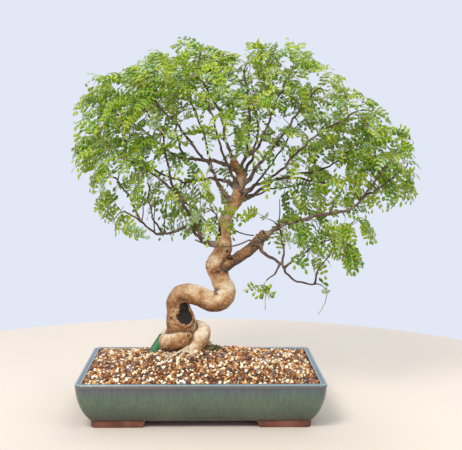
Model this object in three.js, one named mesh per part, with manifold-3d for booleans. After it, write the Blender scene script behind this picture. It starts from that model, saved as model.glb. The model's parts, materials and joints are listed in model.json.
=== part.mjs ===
// A coiled bonsai tree in a shallow glazed pot.
// Millimetres, +Z up, +X to the right and +Y away from the front of the pot.
// The origin of the finished group is the middle of its bounding box, at the height of the feet.

import * as THREE from 'three';
import { mergeVertices } from 'three/addons/utils/BufferGeometryUtils.js';
import Module from 'manifold-3d';

const wasm = await Module();
wasm.setup();

// ---------------------------------------------------------------- driving dimensions

const CLEARANCE = 0.35;            // gap left between two pieces that touch

const CUT_TOLERANCE = 0.02;        // slivers thinner than this are cleaned off after a cut

const POT_LENGTH = 302;            // over the rim, along X
const POT_DEPTH = 210;             // over the rim, along Y
const POT_HEIGHT = 57;             // from the table to the top of the rim
const POT_WALL = 8;
const POT_FLOOR = 6;
const POT_TAPER = 16.5;            // how far the body draws in from rim to base
const WALL_CURVE = 2.3;            // above 1, the wall stays upright for longer and rounds in at its foot
const POT_CORNER = 9;              // corner radius at the rim
const LIP_HEIGHT = 4;              // proud band round the rim
const LIP_PROUD = 0.7;
const FOOT_HEIGHT = 8.2;
const FOOT_LENGTH = 67;            // along the long side
const FOOT_RETURN = 44;            // along the short side
const FOOT_WIDTH = 17;
const FOOT_SLOPE = 4.5;            // how much shorter a foot is at the table

const DRAIN_DIAMETER = 22;
const DRAIN_X = 72;                // the drain holes stand at +-DRAIN_X on the pot's long axis
const WIRE_HOLE_DIAMETER = 5;
const WIRE_HOLE_X = 46;
const WIRE_HOLE_Y = 30;

const SCREEN_THICKNESS = 1.2;
const SCREEN_RIB = 2;
const SCREEN_PITCH = 8;
const SCREEN_CELLS = 4;            // openings along each side, an even number
const CLIP_WIRE = 1.4;             // wire diameters
const ANCHOR_WIRE = 2;
const TRAINING_WIRE = 2.4;

const GRIT_DEPTH = 9;
const SOIL_BELOW_RIM = 3;
const SOIL_MOUND = 18;             // height of the heaped soil over its edge
const SOIL_GRAIN = 4.5;
const MOUND_X = -5;                // where the heap is highest
const MOUND_Y = 15;

const TREE_HEIGHT = 410;           // crown top over the top of the heaped soil
const TRUNK_WIDTH = 27;            // thickness of the arch
const LEAF_LENGTH = 36;
const LEAF_WIDTH = 13;
const LEAF_THICKNESS = 1.5;
const STAKE_WIDTH = 10;
const STAKE_THICKNESS = 2;
const MOSS_RADIUS = 15;

// ---------------------------------------------------------------- what follows from them

const SOIL_EDGE_Z = POT_HEIGHT - SOIL_BELOW_RIM;
const SOIL_TOP_Z = SOIL_EDGE_Z + SOIL_MOUND;
const FLOOR_Z = FOOT_HEIGHT + POT_FLOOR;
const GRIT_TOP_Z = FLOOR_Z + GRIT_DEPTH;

// The tree's points below are drawn for a tree 410 tall with an arch 27 thick.
const GROWTH = TREE_HEIGHT / 410;
const GIRTH = TRUNK_WIDTH / 27;

// Puts a point of the tree, measured from the middle of the pot and the top of the soil, in place.
function planted([x, y, z]) {
  return [x * GROWTH, y * GROWTH, SOIL_TOP_Z + z * GROWTH];
}

// A small repeatable random number source.
function randomSource(seed) {
  let state = seed * 7919 + 17;
  return () => {
    state = (state * 16807) % 2147483647;
    return state / 2147483647;
  };
}

// ---------------------------------------------------------------- solids

function solidFrom(points, triangles) {
  return new wasm.Manifold(new wasm.Mesh({
    numProp: 3,
    vertProperties: new Float32Array(points.flat()),
    triVerts: new Uint32Array(triangles.flat()),
  }));
}

// A closed solid from any closed three.js geometry.
function solidOf(geometry) {
  const bare = geometry.clone();
  bare.deleteAttribute('normal');
  bare.deleteAttribute('uv');
  const merged = mergeVertices(bare, 1e-4);
  return new wasm.Manifold(new wasm.Mesh({
    numProp: 3,
    vertProperties: new Float32Array(merged.attributes.position.array),
    triVerts: new Uint32Array(merged.index.array),
  }));
}

// Joins rings of equal length, one after the other, and closes both ends.
function stack(rings) {
  const count = rings[0].length;
  const triangles = [];
  for (let level = 0; level < rings.length - 1; level += 1) {
    for (let i = 0; i < count; i += 1) {
      const a = level * count + i;
      const b = level * count + ((i + 1) % count);
      triangles.push([a, b, b + count], [a, b + count, a + count]);
    }
  }
  const last = (rings.length - 1) * count;
  for (let i = 1; i < count - 1; i += 1) {
    triangles.push([0, i + 1, i], [last, last + i, last + i + 1]);
  }
  return solidFrom(rings.flat(), triangles);
}

function union(solids) {
  return solids.reduce((whole, solid) => whole.add(solid));
}

// Fills in a curve through hand-set stations [x, y, z, radius].
function smoothed(stations, stepsPerSpan) {
  const curve = new THREE.CatmullRomCurve3(
    stations.map(([x, y, z]) => new THREE.Vector3(x, y, z)), false, 'centripetal');
  const steps = (stations.length - 1) * stepsPerSpan;
  const filled = [];
  for (let i = 0; i <= steps; i += 1) {
    const place = i / stepsPerSpan;
    const before = Math.min(Math.floor(place), stations.length - 2);
    const share = place - before;
    const radius = THREE.MathUtils.lerp(stations[before][3], stations[before + 1][3], share);
    const point = curve.getPoint(i / steps);
    filled.push([point.x, point.y, point.z, radius]);
  }
  return filled;
}

// A round closed sweep along stations [x, y, z, radius], with its ends flat.
function sweep(stations, sides, extra = 0) {
  const centres = stations.map(([x, y, z]) => new THREE.Vector3(x, y, z));
  const tangents = centres.map((_, i) => {
    const next = centres[Math.min(i + 1, centres.length - 1)];
    const previous = centres[Math.max(i - 1, 0)];
    return next.clone().sub(previous).normalize();
  });
  const start = Math.abs(tangents[0].z) < 0.9 ? new THREE.Vector3(0, 0, 1) : new THREE.Vector3(1, 0, 0);
  let across = start.clone().cross(tangents[0]).normalize();
  const rings = centres.map((centre, i) => {
    across = across.sub(tangents[i].clone().multiplyScalar(across.dot(tangents[i]))).normalize();
    const up = tangents[i].clone().cross(across);
    const middle = centre.clone();
    if (i === 0) middle.addScaledVector(tangents[i], -extra);
    if (i === centres.length - 1) middle.addScaledVector(tangents[i], extra);
    return Array.from({ length: sides }, (_, k) => {
      const angle = (k / sides) * 2 * Math.PI;
      return middle.clone()
        .addScaledVector(across, Math.cos(angle) * (stations[i][3] + extra))
        .addScaledVector(up, Math.sin(angle) * (stations[i][3] + extra))
        .toArray();
    });
  });
  return stack(rings);
}

// A ball squeezed to three radii.
function ellipsoid([x, y, z], [radiusX, radiusY, radiusZ], detail = 2) {
  const geometry = new THREE.IcosahedronGeometry(1, detail);
  geometry.scale(radiusX, radiusY, radiusZ);
  geometry.translate(x, y, z);
  return solidOf(geometry);
}

function cylinder(radius, low, high, x, y, sides) {
  const geometry = new THREE.CylinderGeometry(radius, radius, high - low, sides);
  geometry.rotateX(Math.PI / 2);
  geometry.translate(x, y, (low + high) / 2);
  return solidOf(geometry);
}

function block(sizeX, sizeY, sizeZ, x, y, z) {
  const geometry = new THREE.BoxGeometry(sizeX, sizeY, sizeZ);
  geometry.translate(x, y, z);
  return solidOf(geometry);
}

// Four corner arcs joined by straight sides, counterclockwise seen from above.
function roundedRing(halfX, halfY, radius, z, arcSteps, sideSteps = 1) {
  const corners = [[1, 1], [-1, 1], [-1, -1], [1, -1]];
  const ring = [];
  corners.forEach(([signX, signY], index) => {
    for (let k = 0; k <= arcSteps; k += 1) {
      const angle = (index + k / arcSteps) * (Math.PI / 2);
      ring.push([
        signX * (halfX - radius) + radius * Math.cos(angle),
        signY * (halfY - radius) + radius * Math.sin(angle),
        z,
      ]);
    }
    const [nextX, nextY] = corners[(index + 1) % 4];
    const from = ring[ring.length - 1];
    const cornerAngle = (index + 1) * (Math.PI / 2);
    const to = [
      nextX * (halfX - radius) + radius * Math.cos(cornerAngle),
      nextY * (halfY - radius) + radius * Math.sin(cornerAngle),
    ];
    for (let k = 1; k < sideSteps; k += 1) {
      const share = k / sideSteps;
      ring.push([from[0] + (to[0] - from[0]) * share, from[1] + (to[1] - from[1]) * share, z]);
    }
  });
  return ring;
}

// ---------------------------------------------------------------- pieces that fit round each other

// Each finished piece keeps its grown copy, which later pieces are cut back from.
const finished = [];

function boxesMeet(a, b) {
  return [0, 1, 2].every((axis) => a.min[axis] <= b.max[axis] && b.min[axis] <= a.max[axis]);
}

function largestBody(solid) {
  return solid.decompose().reduce((best, body) => (body.volume() > best.volume() ? body : best));
}

// Takes away what earlier pieces need, with their clearance.
function cutBack(solid) {
  const box = solid.boundingBox();
  return finished
    .filter((other) => boxesMeet(other.box, box))
    .reduce((left, other) => left.subtract(other.grown), solid);
}

// build(extra) makes the piece grown by extra on every side.
function fitPiece(name, build, material) {
  const solid = largestBody(cutBack(build(0)).simplify(CUT_TOLERANCE));
  const grown = build(CLEARANCE);
  finished.push({ name, solid, grown, box: grown.boundingBox(), material });
}

function material(color, roughness, metalness = 0) {
  return { color, roughness, metalness };
}

// ---------------------------------------------------------------- pot

// How far the body stands in from the rim at a height.
function wallInset(z) {
  const share = (z - FOOT_HEIGHT) / (POT_HEIGHT - FOOT_HEIGHT);
  return POT_TAPER * Math.max(1 - share, 0) ** WALL_CURVE;
}

function potRing(z, inset, extra = 0, sideSteps = 1) {
  return roundedRing(
    POT_LENGTH / 2 - inset + extra,
    POT_DEPTH / 2 - inset + extra,
    Math.max(POT_CORNER - inset * 0.5, 4),
    z, 5, sideSteps);
}

function potFoot(signX, signY, extra) {
  const halfX = POT_LENGTH / 2 - POT_TAPER;
  const halfY = POT_DEPTH / 2 - POT_TAPER;
  const top = FOOT_HEIGHT + 1.5;
  const arm = (length, width, z) => [
    [signX * halfX, signY * halfY, z],
    [signX * (halfX - length), signY * halfY, z],
    [signX * (halfX - length), signY * (halfY - width), z],
    [signX * halfX, signY * (halfY - width), z],
  ];
  const turned = (ring) => (signX * signY > 0 ? ring : [...ring].reverse());
  const along = stack([
    turned(arm(FOOT_LENGTH - FOOT_SLOPE, FOOT_WIDTH, -extra)),
    turned(arm(FOOT_LENGTH, FOOT_WIDTH, top)),
  ]);
  const across = stack([
    turned(arm(FOOT_WIDTH, FOOT_RETURN - FOOT_SLOPE, -extra)),
    turned(arm(FOOT_WIDTH, FOOT_RETURN, top)),
  ]);
  const outline = stack([-1, top].map((z) => potRing(z, POT_TAPER, extra)));
  return along.add(across).intersect(outline);
}

function potHoles(extra) {
  const low = FOOT_HEIGHT - 1;
  const high = FLOOR_Z + 1;
  const holes = [];
  [-1, 1].forEach((signX) => {
    holes.push(cylinder(DRAIN_DIAMETER / 2 - extra, low, high, signX * DRAIN_X, 0, 16));
    [-1, 1].forEach((signY) => {
      const radius = WIRE_HOLE_DIAMETER / 2 - extra;
      holes.push(cylinder(radius, low, high, signX * WIRE_HOLE_X, signY * WIRE_HOLE_Y, 8));
    });
  });
  return union(holes);
}

function pot(extra = 0) {
  const lipZ = POT_HEIGHT - LIP_HEIGHT;
  const bodyHeights = [0, 0.04, 0.14, 0.3, 0.52, 0.76].map(
    (share) => FOOT_HEIGHT + share * (POT_HEIGHT - FOOT_HEIGHT));
  const hollowHeights = [0.8, 0.5, 0.2, 0].map((share) => FLOOR_Z + share * (lipZ - FLOOR_Z));
  const rings = [
    ...bodyHeights.map((z) => potRing(z, wallInset(z) + LIP_PROUD, extra)),
    potRing(lipZ - 1.5, wallInset(lipZ) + LIP_PROUD, extra),
    potRing(lipZ, 0, extra),
    potRing(POT_HEIGHT - 1.2, 0, extra),
    potRing(POT_HEIGHT + extra, 1.2, extra),
    potRing(POT_HEIGHT + extra, POT_WALL - 1, -extra),
    potRing(POT_HEIGHT - 1, POT_WALL, -extra),
    ...hollowHeights.map((z) => potRing(z + extra, wallInset(z) + POT_WALL, -extra)),
  ];
  const feet = [[1, 1], [-1, 1], [-1, -1], [1, -1]].map(([x, y]) => potFoot(x, y, extra));
  return union([stack(rings), ...feet]).subtract(potHoles(extra));
}

fitPiece('pot', pot, material(0x6b756c, 0.25));

// ---------------------------------------------------------------- drain screens and their clips

const SCREEN_Z = FLOOR_Z + CLEARANCE;
const SCREEN_TOP_Z = SCREEN_Z + SCREEN_THICKNESS;
const SCREEN_SIZE = SCREEN_CELLS * SCREEN_PITCH + SCREEN_RIB;

function drainScreen(centreX, extra) {
  const size = SCREEN_SIZE + 2 * extra;
  const middleZ = SCREEN_Z + SCREEN_THICKNESS / 2;
  const plate = block(size, size, SCREEN_THICKNESS + 2 * extra, centreX, 0, middleZ);
  if (extra > 0) return plate;
  const opening = SCREEN_PITCH - SCREEN_RIB;
  const cells = Array.from({ length: SCREEN_CELLS }, (_, i) => (
    (i - (SCREEN_CELLS - 1) / 2) * SCREEN_PITCH));
  const openings = cells.flatMap((x) => cells.map((y) => (
    block(opening, opening, 2 * SCREEN_THICKNESS, centreX + x, y, middleZ))));
  return plate.subtract(union(openings));
}

// The clip goes over the screen, down through two of its openings and outward under the floor.
function screenClip(centreX, extra) {
  const radius = CLIP_WIRE / 2;
  const y = SCREEN_PITCH / 2;
  const legX = SCREEN_PITCH / 2;
  const tailX = DRAIN_DIAMETER / 2 + 5;
  const low = FOOT_HEIGHT - CLEARANCE - radius;
  const high = SCREEN_TOP_Z + CLEARANCE + radius;
  const bend = CLIP_WIRE;
  const half = [
    [tailX, low], [legX + bend, low], [legX, low + bend], [legX, high - bend], [legX - bend, high]];
  const route = [
    ...half.map(([x, z]) => [-x, z]),
    ...[...half].reverse()];
  return sweep(route.map(([x, z]) => [centreX + x, y, z, radius]), 6, extra);
}

[['left', -DRAIN_X], ['right', DRAIN_X]].forEach(([side, x]) => {
  fitPiece(`screen_clip_${side}`, (extra) => screenClip(x, extra), material(0x9a9a94, 0.4, 0.9));
  fitPiece(`drain_screen_${side}`, (extra) => drainScreen(x, extra), material(0x1d1f1e, 0.6));
});

// ---------------------------------------------------------------- anchor wire

// Runs under the floor between two wire holes, and up both sides over the roots.
function anchorWire(extra) {
  const radius = ANCHOR_WIRE / 2;
  const low = FOOT_HEIGHT - CLEARANCE - radius;
  const bend = 2.5;
  const shoulder = SOIL_TOP_Z - 20;
  const side = (sign, tipX) => [
    [tipX, MOUND_Y - 9, SOIL_TOP_Z - 9],
    [sign * (WIRE_HOLE_X - 6), -WIRE_HOLE_Y + 14, shoulder + 8],
    [sign * WIRE_HOLE_X, -WIRE_HOLE_Y, shoulder],
    [sign * WIRE_HOLE_X, -WIRE_HOLE_Y, low + bend],
    [sign * (WIRE_HOLE_X - bend), -WIRE_HOLE_Y, low],
  ];
  const route = [...side(-1, -33), ...side(1, 9).reverse()];
  return sweep(route.map(([x, y, z]) => [x, y, z, radius]), 6, extra);
}

fitPiece('anchor_wire', anchorWire, material(0x8a8378, 0.45, 0.9));

// ---------------------------------------------------------------- training wire

const TRAINING_ROUTE = [
  [-9, 6, 147], [5, 8, 141], [15, 8, 138.5], [25, 7.5, 138], [35, 8, 138],
  [43, 11, 139], [52, 11, 142], [62, 8, 147], [72, 6, 151], [80, 8, 155.5],
];

function trainingWire(extra) {
  const stations = TRAINING_ROUTE.map((point) => [...planted(point), TRAINING_WIRE / 2]);
  return sweep(smoothed(stations, 2), 6, extra);
}

fitPiece('training_wire', trainingWire, material(0x6f6252, 0.6, 0.3));

// ---------------------------------------------------------------- trunk

// Stations [x, y, z, radius]: the root comes up from the front, goes round the back of the leg
// from right to left and ends as the lobe at the front.
const ROOT_COIL = [
  [-18, 6, -17, 10], [-14, 11, -3, 10.5], [-5, 17, 12, 11.3], [2, 25, 21, 9.8], [-1, 37, 25, 9],
  [-16, 48, 25, 10.5], [-33, 49, 20, 11], [-44, 40, 13, 11], [-46, 28, 8, 11.3], [-41, 16, 9, 11.3],
  [-27, 13, 13, 10.8], [-17, 19, 15, 8.8],
];
const LEG = [
  [-29, 32, -16, 20], [-27, 31, 4, 19], [-27, 29, 22, 19.5], [-28, 27, 38, 19.5], [-31, 26, 52, 16],
  [-33, 25, 63, 14], [-28, 24, 71, 13.3], [-18, 22, 74.5, 13],
];
const ARCH = [
  [-33, 25, 60, 13.5], [-28, 24, 71, 13.5], [-19, 22, 74.5, 13], [-8, 20, 73, 13],
  [5, 19, 67.5, 13.3], [17, 19, 64, 13.5], [27, 20, 68, 14], [31, 22, 78, 13.5],
];
const UPRIGHT = [
  [21, 20, 65, 12], [29, 21, 70, 13.8], [31, 22, 79, 13.5], [26, 24, 89, 13], [22, 25, 99, 12.7],
  [18, 25, 110, 13.5], [22, 24, 122, 11.6], [28, 22, 133, 11.4], [28, 21, 145, 10.8], [29, 20, 158, 8.2],
  [30, 19, 171, 7.6], [35, 19, 183, 7.2], [41, 20, 192, 7.8], [46, 22, 201, 9], [48, 24, 211, 7.5],
  [51, 26, 221, 6.5], [50, 28, 231, 5.8], [44, 28, 242, 5.2], [40, 27, 250, 4.6],
];
// Roots that leave the foot and dive into the soil.
const ROOTS = [
  [[-22, 12, 4, 3], [-24, 0, -1, 2.6], [-27, -14, -6, 2], [-30, -24, -12, 1.4]],
  [[-30, 10, 5, 3], [-37, -2, 0, 2.4], [-43, -16, -6, 1.9], [-46, -26, -12, 1.3]],
  [[-4, 14, -6, 8], [10, 0, -16, 6], [26, -10, -29, 3.5]],
  [[-44, 31, 0, 9], [-56, 32, -15, 6.5], [-74, 30, -30, 3.5]],
  [[-36, 50, 12, 10], [-44, 62, -7, 7.5], [-56, 72, -29, 3.5]],
  [[-2, 36, 10, 9], [14, 44, -9, 7.5], [36, 50, -29, 3.5]],
];
// Hollows [centre, radii]: the large scar on the leg, a slit beside it, the strip high on the left
// of the upright, a knot, the fold over the thick limb and the scar between root and lobe.
const HOLLOWS = [
  [[-23, 4, 52], [12, 8, 14]],
  [[-9, 12, 42], [4, 7, 7]],
  [[20, 11, 158], [4, 6, 13]],
  [[33, 9.5, 131], [2.6, 3, 2.2]],
  [[36, 11, 122], [7, 4, 2.4]],
  [[-19, 5, 25], [3.5, 4, 2.8]],
];

// A thin leafless twig behind the upright.
const BARE_TWIG = [
  [31, 20, 165, 1.2], [39, 27, 160, 1], [48, 27, 155, 0.9], [59, 24, 152, 0.8], [68, 24, 151, 0.8]];

function woodSweep(stations, sides, extra, stepsPerSpan = 1) {
  const placed = stations.map(([x, y, z, radius]) => [...planted([x, y, z]), radius * GROWTH * GIRTH]);
  return sweep(smoothed(placed, stepsPerSpan), sides, extra);
}

function trunk(extra) {
  const strands = [ROOT_COIL, LEG, ARCH, UPRIGHT].map((route) => woodSweep(route, 10, extra));
  const roots = ROOTS.map((route) => woodSweep(route, 5, extra));
  const wood = union([...strands, ...roots, woodSweep(BARE_TWIG, 5, extra)]);
  if (extra > 0) return wood;
  const hollows = HOLLOWS.map(([centre, radii]) => ellipsoid(
    planted(centre), radii.map((radius) => radius * GROWTH), 1));
  return hollows.reduce((left, hollow) => left.subtract(hollow), wood);
}

fitPiece('trunk', trunk, material(0xa98662, 0.8));

// ---------------------------------------------------------------- limbs

// Each limb is one grown piece: its first route starts inside the trunk or an earlier limb, and its
// forks start inside it. A route is [radius at its start, radius at its tip, points].
const LIMBS = {
  right_thick: [
    [7.6, 7, [[20, 23, 106], [34, 21, 114], [48, 18, 123], [63, 16, 134], [74, 14, 145], [82, 12, 154]]],
  ],
  right_far: [
    [4.2, 1.5, [[76, 13, 149], [98, 8, 164], [132, 0, 175], [163, -8, 182], [185, -14, 186],
      [200, -19, 202], [221, -26, 230], [237, -30, 251]]],
    [2, 1.2, [[163, -8, 182], [169, -4, 198], [178, 0, 211], [185, 4, 227]]],
    [2, 1.2, [[200, -19, 202], [229, -18, 220], [262, -10, 246]]],
  ],
  right_low: [
    [3.4, 1.3, [[73, 13, 144], [79, 9, 132], [101, 4, 117], [108, 2, 102], [136, -4, 92], [147, -6, 91]]],
    [1.8, 1.2, [[101, 4, 117], [94, 0, 105], [85, -6, 93]]],
    [2, 1.2, [[103, 4, 114], [107, 10, 132], [104, 14, 149], [99, 18, 164]]],
    [1.6, 1.1, [[145, -6, 91], [149, -8, 112], [162, -12, 126]]],
    [2, 1.2, [[105, 4, 110], [131, 0, 131], [166, -8, 151]]],
  ],
  left_main: [
    [4.2, 1.5, [[22, 20, 138], [4, 14, 144], [-6, 6, 158], [-24, -12, 196], [-34, -20, 210],
      [-70, -38, 238], [-107, -48, 262]]],
    [2.6, 1.3, [[-26, -14, 200], [-40, -24, 225], [-42, -31, 250], [-55, -30, 289], [-78, -28, 318]]],
    [1.5, 1.1, [[6, 14, 144], [15, 7, 162], [18, 2, 178], [8, -2, 190]]],
  ],
  left_low: [
    [3.2, 1.4, [[6, 16, 144], [-6, 8, 151], [-18, 3, 161], [-37, -4, 158], [-58, -12, 157],
      [-78, -20, 174], [-95, -26, 186]]],
    [1.6, 1.2, [[-50, -9, 156], [-61, -6, 171], [-66, -4, 192], [-69, -2, 222]]],
    [1.8, 1.2, [[-78, -20, 174], [-86, -22, 196], [-104, -28, 220], [-128, -34, 246]]],
  ],
  left_mid: [
    [3.6, 1.4, [[48, 25, 211], [31, 30, 221], [14, 34, 226], [2, 38, 224], [-12, 43, 219],
      [-39, 55, 224], [-80, 70, 244], [-109, 78, 266]]],
  ],
  left_upper: [
    [4, 1.4, [[42, 20, 194], [24, 6, 214], [12, -10, 240], [-5, -22, 258], [-30, -38, 294], [-62, -46, 326]]],
    [2, 1.2, [[12, -10, 240], [6, -20, 266], [-4, -30, 302], [-20, -38, 330]]],
  ],
  left_back: [
    [3.8, 1.4, [[47, 28, 236], [15, 42, 248], [-22, 60, 249], [-44, 70, 260], [-93, 84, 296], [-122, 88, 314]]],
    [2.4, 1.3, [[-22, 60, 249], [-34, 76, 280], [-36, 92, 322]]],
  ],
  top_left: [
    [3.6, 1.3, [[43, 28, 243], [35, 31, 262], [26, 34, 301], [4, 36, 344], [-14, 34, 366]]],
  ],
  top_centre: [
    [3.6, 1.3, [[50, 28, 228], [53, 24, 244], [59, 16, 265], [60, 8, 304], [56, 6, 340], [53, 8, 368]]],
  ],
  top_right: [
    [3.2, 1.3, [[55, 24, 254], [70, 22, 266], [84, 24, 291], [99, 22, 330], [112, 20, 358]]],
  ],
  top_front: [
    [3.6, 1.3, [[47, 20, 214], [39, 3, 229], [29, -22, 252], [17, -50, 288], [8, -66, 316]]],
  ],
  top_back: [
    [3.6, 1.3, [[51, 30, 222], [62, 54, 242], [73, 82, 276], [74, 106, 314], [68, 118, 338]]],
  ],
  right_upper: [
    [3.8, 1.4, [[50, 26, 216], [70, 14, 240], [88, 10, 264], [107, 6, 289], [126, 4, 320], [147, 4, 342]]],
  ],
  right_mid: [
    [3.6, 1.4, [[47, 20, 206], [64, 10, 216], [83, 4, 222], [104, -4, 241], [137, -14, 276], [190, -18, 310]]],
  ],
  right_long: [
    [3.8, 1.4, [[45, 21, 197], [62, 26, 203], [81, 32, 215], [108, 38, 227], [159, 44, 239], [196, 48, 261]]],
    [2.2, 1.2, [[108, 38, 227], [130, 44, 226], [177, 52, 218], [203, 56, 227], [226, 60, 240]]],
  ],
  right_back: [
    [3.6, 1.4, [[28, 22, 164], [40, 42, 180], [58, 62, 200], [94, 90, 240], [124, 98, 290]]],
    [2, 1.2, [[58, 62, 200], [96, 84, 208], [138, 96, 214]]],
  ],
  back_low: [
    [3.2, 1.4, [[26, 24, 145], [16, 46, 154], [4, 66, 168], [-24, 92, 190]]],
  ],
};

function limbRoute([startRadius, tipRadius, points], extra) {
  const stations = points.map((point, i) => {
    const share = (i / (points.length - 1)) ** 0.8;
    return [...point, THREE.MathUtils.lerp(startRadius, tipRadius, share)];
  });
  const sides = startRadius > 5 ? 9 : 6;
  return woodSweep(stations, startRadius < 2.5 ? 5 : sides, extra, 1);
}

function limb(routes, extra) {
  return union(routes.map((route) => limbRoute(route, extra)));
}

Object.entries(LIMBS).forEach(([name, routes]) => {
  fitPiece(`limb_${name}`, (extra) => limb(routes, extra), material(0x6a5138, 0.85));
});

// ---------------------------------------------------------------- stake and moss

// A flat strip that leans on the foot of the trunk from the left.
function stake(extra) {
  const foot = new THREE.Vector3(...planted([-80, 13, -24]));
  const tip = new THREE.Vector3(...planted([-51, 31, 17]));
  const along = tip.clone().sub(foot);
  const geometry = new THREE.BoxGeometry(
    STAKE_WIDTH + 2 * extra, STAKE_THICKNESS + 2 * extra, along.length() + 2 * extra);
  const turn = new THREE.Quaternion().setFromUnitVectors(
    new THREE.Vector3(0, 0, 1), along.clone().normalize());
  geometry.applyQuaternion(turn);
  const middle = foot.add(tip).multiplyScalar(0.5);
  geometry.translate(...middle.toArray());
  return solidOf(geometry);
}

fitPiece('green_stake', stake, material(0x1d7a3c, 0.45));

function mossPatch(extra) {
  const [x, y, z] = planted([13, 21, -3]);
  return ellipsoid([x, y, z], [MOSS_RADIUS + extra, MOSS_RADIUS * 0.75 + extra, 7 + extra], 2);
}

fitPiece('moss', mossPatch, material(0x5c5a34, 0.95));

// ---------------------------------------------------------------- soil and drainage grit

const SOIL_HALF_X = POT_LENGTH / 2 - POT_WALL - CLEARANCE;
const SOIL_HALF_Y = POT_DEPTH / 2 - POT_WALL - CLEARANCE;

// Falls from 1 at the top of the heap to 0 at the wall.
function heapShare(place, top, half) {
  const reach = place < top ? half + top : half - top;
  return Math.max(1 - ((place - top) / reach) ** 2, 0);
}

function soilHeight(x, y) {
  const heap = heapShare(x, MOUND_X, SOIL_HALF_X) * heapShare(y, MOUND_Y, SOIL_HALF_Y);
  const grain = Math.sin(x * 0.71 + y * 0.37) * Math.cos(y * 0.53 - x * 0.29);
  return SOIL_EDGE_Z + SOIL_MOUND * heap + grain * SOIL_GRAIN * 0.2;
}

function fillRing(z, sideSteps) {
  return potRing(z, wallInset(z) + POT_WALL + CLEARANCE, 0, sideSteps);
}

function soil() {
  const low = GRIT_TOP_Z + CLEARANCE;
  const sides = [0, 0.5].map((share) => fillRing(low + share * (SOIL_EDGE_Z - low), 3));
  const edge = fillRing(SOIL_EDGE_Z - 1, 3);
  const surface = [0.985, 0.8, 0.6, 0.4, 0.2, 0.06].map((size) => edge.map(([x, y]) => {
    const placeX = MOUND_X * (1 - size) + x * size;
    const placeY = MOUND_Y * (1 - size) + y * size;
    return [placeX, placeY, soilHeight(placeX, placeY)];
  }));
  return stack([...sides, edge, ...surface]);
}

function drainageGrit() {
  const low = FLOOR_Z + CLEARANCE;
  return stack([low, (low + GRIT_TOP_Z) / 2, GRIT_TOP_Z].map((z) => fillRing(z, 1)));
}

fitPiece('soil', soil, material(0xa98762, 0.9));
fitPiece('drainage_grit', drainageGrit, material(0x9c8a76, 0.95));

// ---------------------------------------------------------------- foliage

// Each spray is one shoot with its twigs and compound leaves: the limb tip that it grows from, the
// middle of the space that it fills, and the reach of its twigs along X, Y and Z.
const SPRAYS = {
  left_low: [[-95, -26, 186], [-104, -24, 186], [30, 30, 16]],
  left_tip: [[-128, -34, 246], [-138, -30, 256], [16, 32, 24]],
  left_mid: [[-107, -48, 262], [-100, -56, 262], [28, 26, 20]],
  left_fork: [[-78, -28, 318], [-92, -14, 320], [30, 34, 22]],
  left_mid_back: [[-109, 78, 266], [-116, 68, 270], [26, 28, 20]],
  left_back: [[-122, 88, 314], [-128, 64, 322], [18, 30, 26]],
  left_high: [[-62, -46, 326], [-72, -36, 344], [30, 30, 24]],
  top_front_left: [[-20, -38, 330], [-26, -34, 350], [28, 26, 20]],
  back_left: [[-36, 92, 322], [-38, 90, 332], [34, 28, 22]],
  top_left: [[-14, 34, 366], [-26, 30, 372], [36, 32, 18]],
  top_centre: [[53, 8, 368], [54, 14, 378], [32, 34, 14]],
  top_right: [[112, 20, 358], [114, 18, 366], [34, 34, 20]],
  top_front: [[8, -66, 316], [20, -64, 326], [38, 24, 22]],
  top_back: [[68, 118, 338], [66, 106, 346], [40, 22, 20]],
  right_upper: [[147, 4, 342], [160, 16, 336], [28, 34, 22]],
  right_back: [[124, 98, 290], [132, 92, 306], [36, 26, 24]],
  right_mid: [[190, -18, 310], [196, -6, 304], [28, 32, 20]],
  right_long: [[196, 48, 261], [200, 44, 268], [22, 28, 18]],
  right_long_low: [[226, 60, 240], [228, 52, 244], [22, 24, 14]],
  right_back_low: [[138, 96, 214], [142, 86, 222], [26, 22, 16]],
  far_tip: [[262, -10, 246], [252, -6, 262], [18, 26, 20]],
  far_low: [[237, -30, 251], [240, -32, 226], [20, 20, 16]],
  far_mid: [[185, 4, 227], [188, 10, 222], [20, 22, 14]],
  low_inner: [[99, 18, 164], [104, 18, 182], [30, 24, 14]],
  low_mid: [[162, -12, 126], [156, -4, 142], [20, 22, 16]],
  low_outer: [[166, -8, 151], [184, -12, 154], [20, 22, 22]],
  droop_left: [[85, -6, 93], [76, -8, 90], [12, 12, 7]],
  droop_right: [[147, -6, 91], [150, -8, 84], [11, 12, 8]],
  inner_left: [[8, -2, 190], [0, -6, 188], [16, 18, 14]],
  back_low: [[-24, 92, 190], [-30, 84, 196], [26, 20, 16]],
};
const TWIGS_PER_SPRAY = 4;
const TWIG_RADIUS = 1.1;

// A leaf is a thin pointed plate, thickest along its midrib, that hangs a little at its tip.
function leafPlate(base, direction, length, width) {
  const side = new THREE.Vector3(0, 0, 1).cross(direction).normalize();
  const up = direction.clone().cross(side);
  const at = (along, across, lift) => base.clone()
    .addScaledVector(direction, along * length)
    .addScaledVector(side, across * width)
    .addScaledVector(up, lift)
    .toArray();
  const outline = [[0, 0], [0.5, 0.5], [1, 0], [0.5, -0.5]];
  const points = outline.map(([along, across]) => at(along, across, along > 0.9 ? -2 : 0));
  points.push(at(0.45, 0, LEAF_THICKNESS), at(0.45, 0, -LEAF_THICKNESS));
  const count = outline.length;
  const triangles = [];
  for (let i = 0; i < count; i += 1) {
    const next = (i + 1) % count;
    triangles.push([next, i, count], [i, next, count + 1]);
  }
  return solidFrom(points, triangles);
}

function touchesFinished(solid) {
  const box = solid.boundingBox();
  return finished.some((other) => boxesMeet(other.box, box) && solid.intersect(other.grown).volume() > 1e-6);
}

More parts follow.
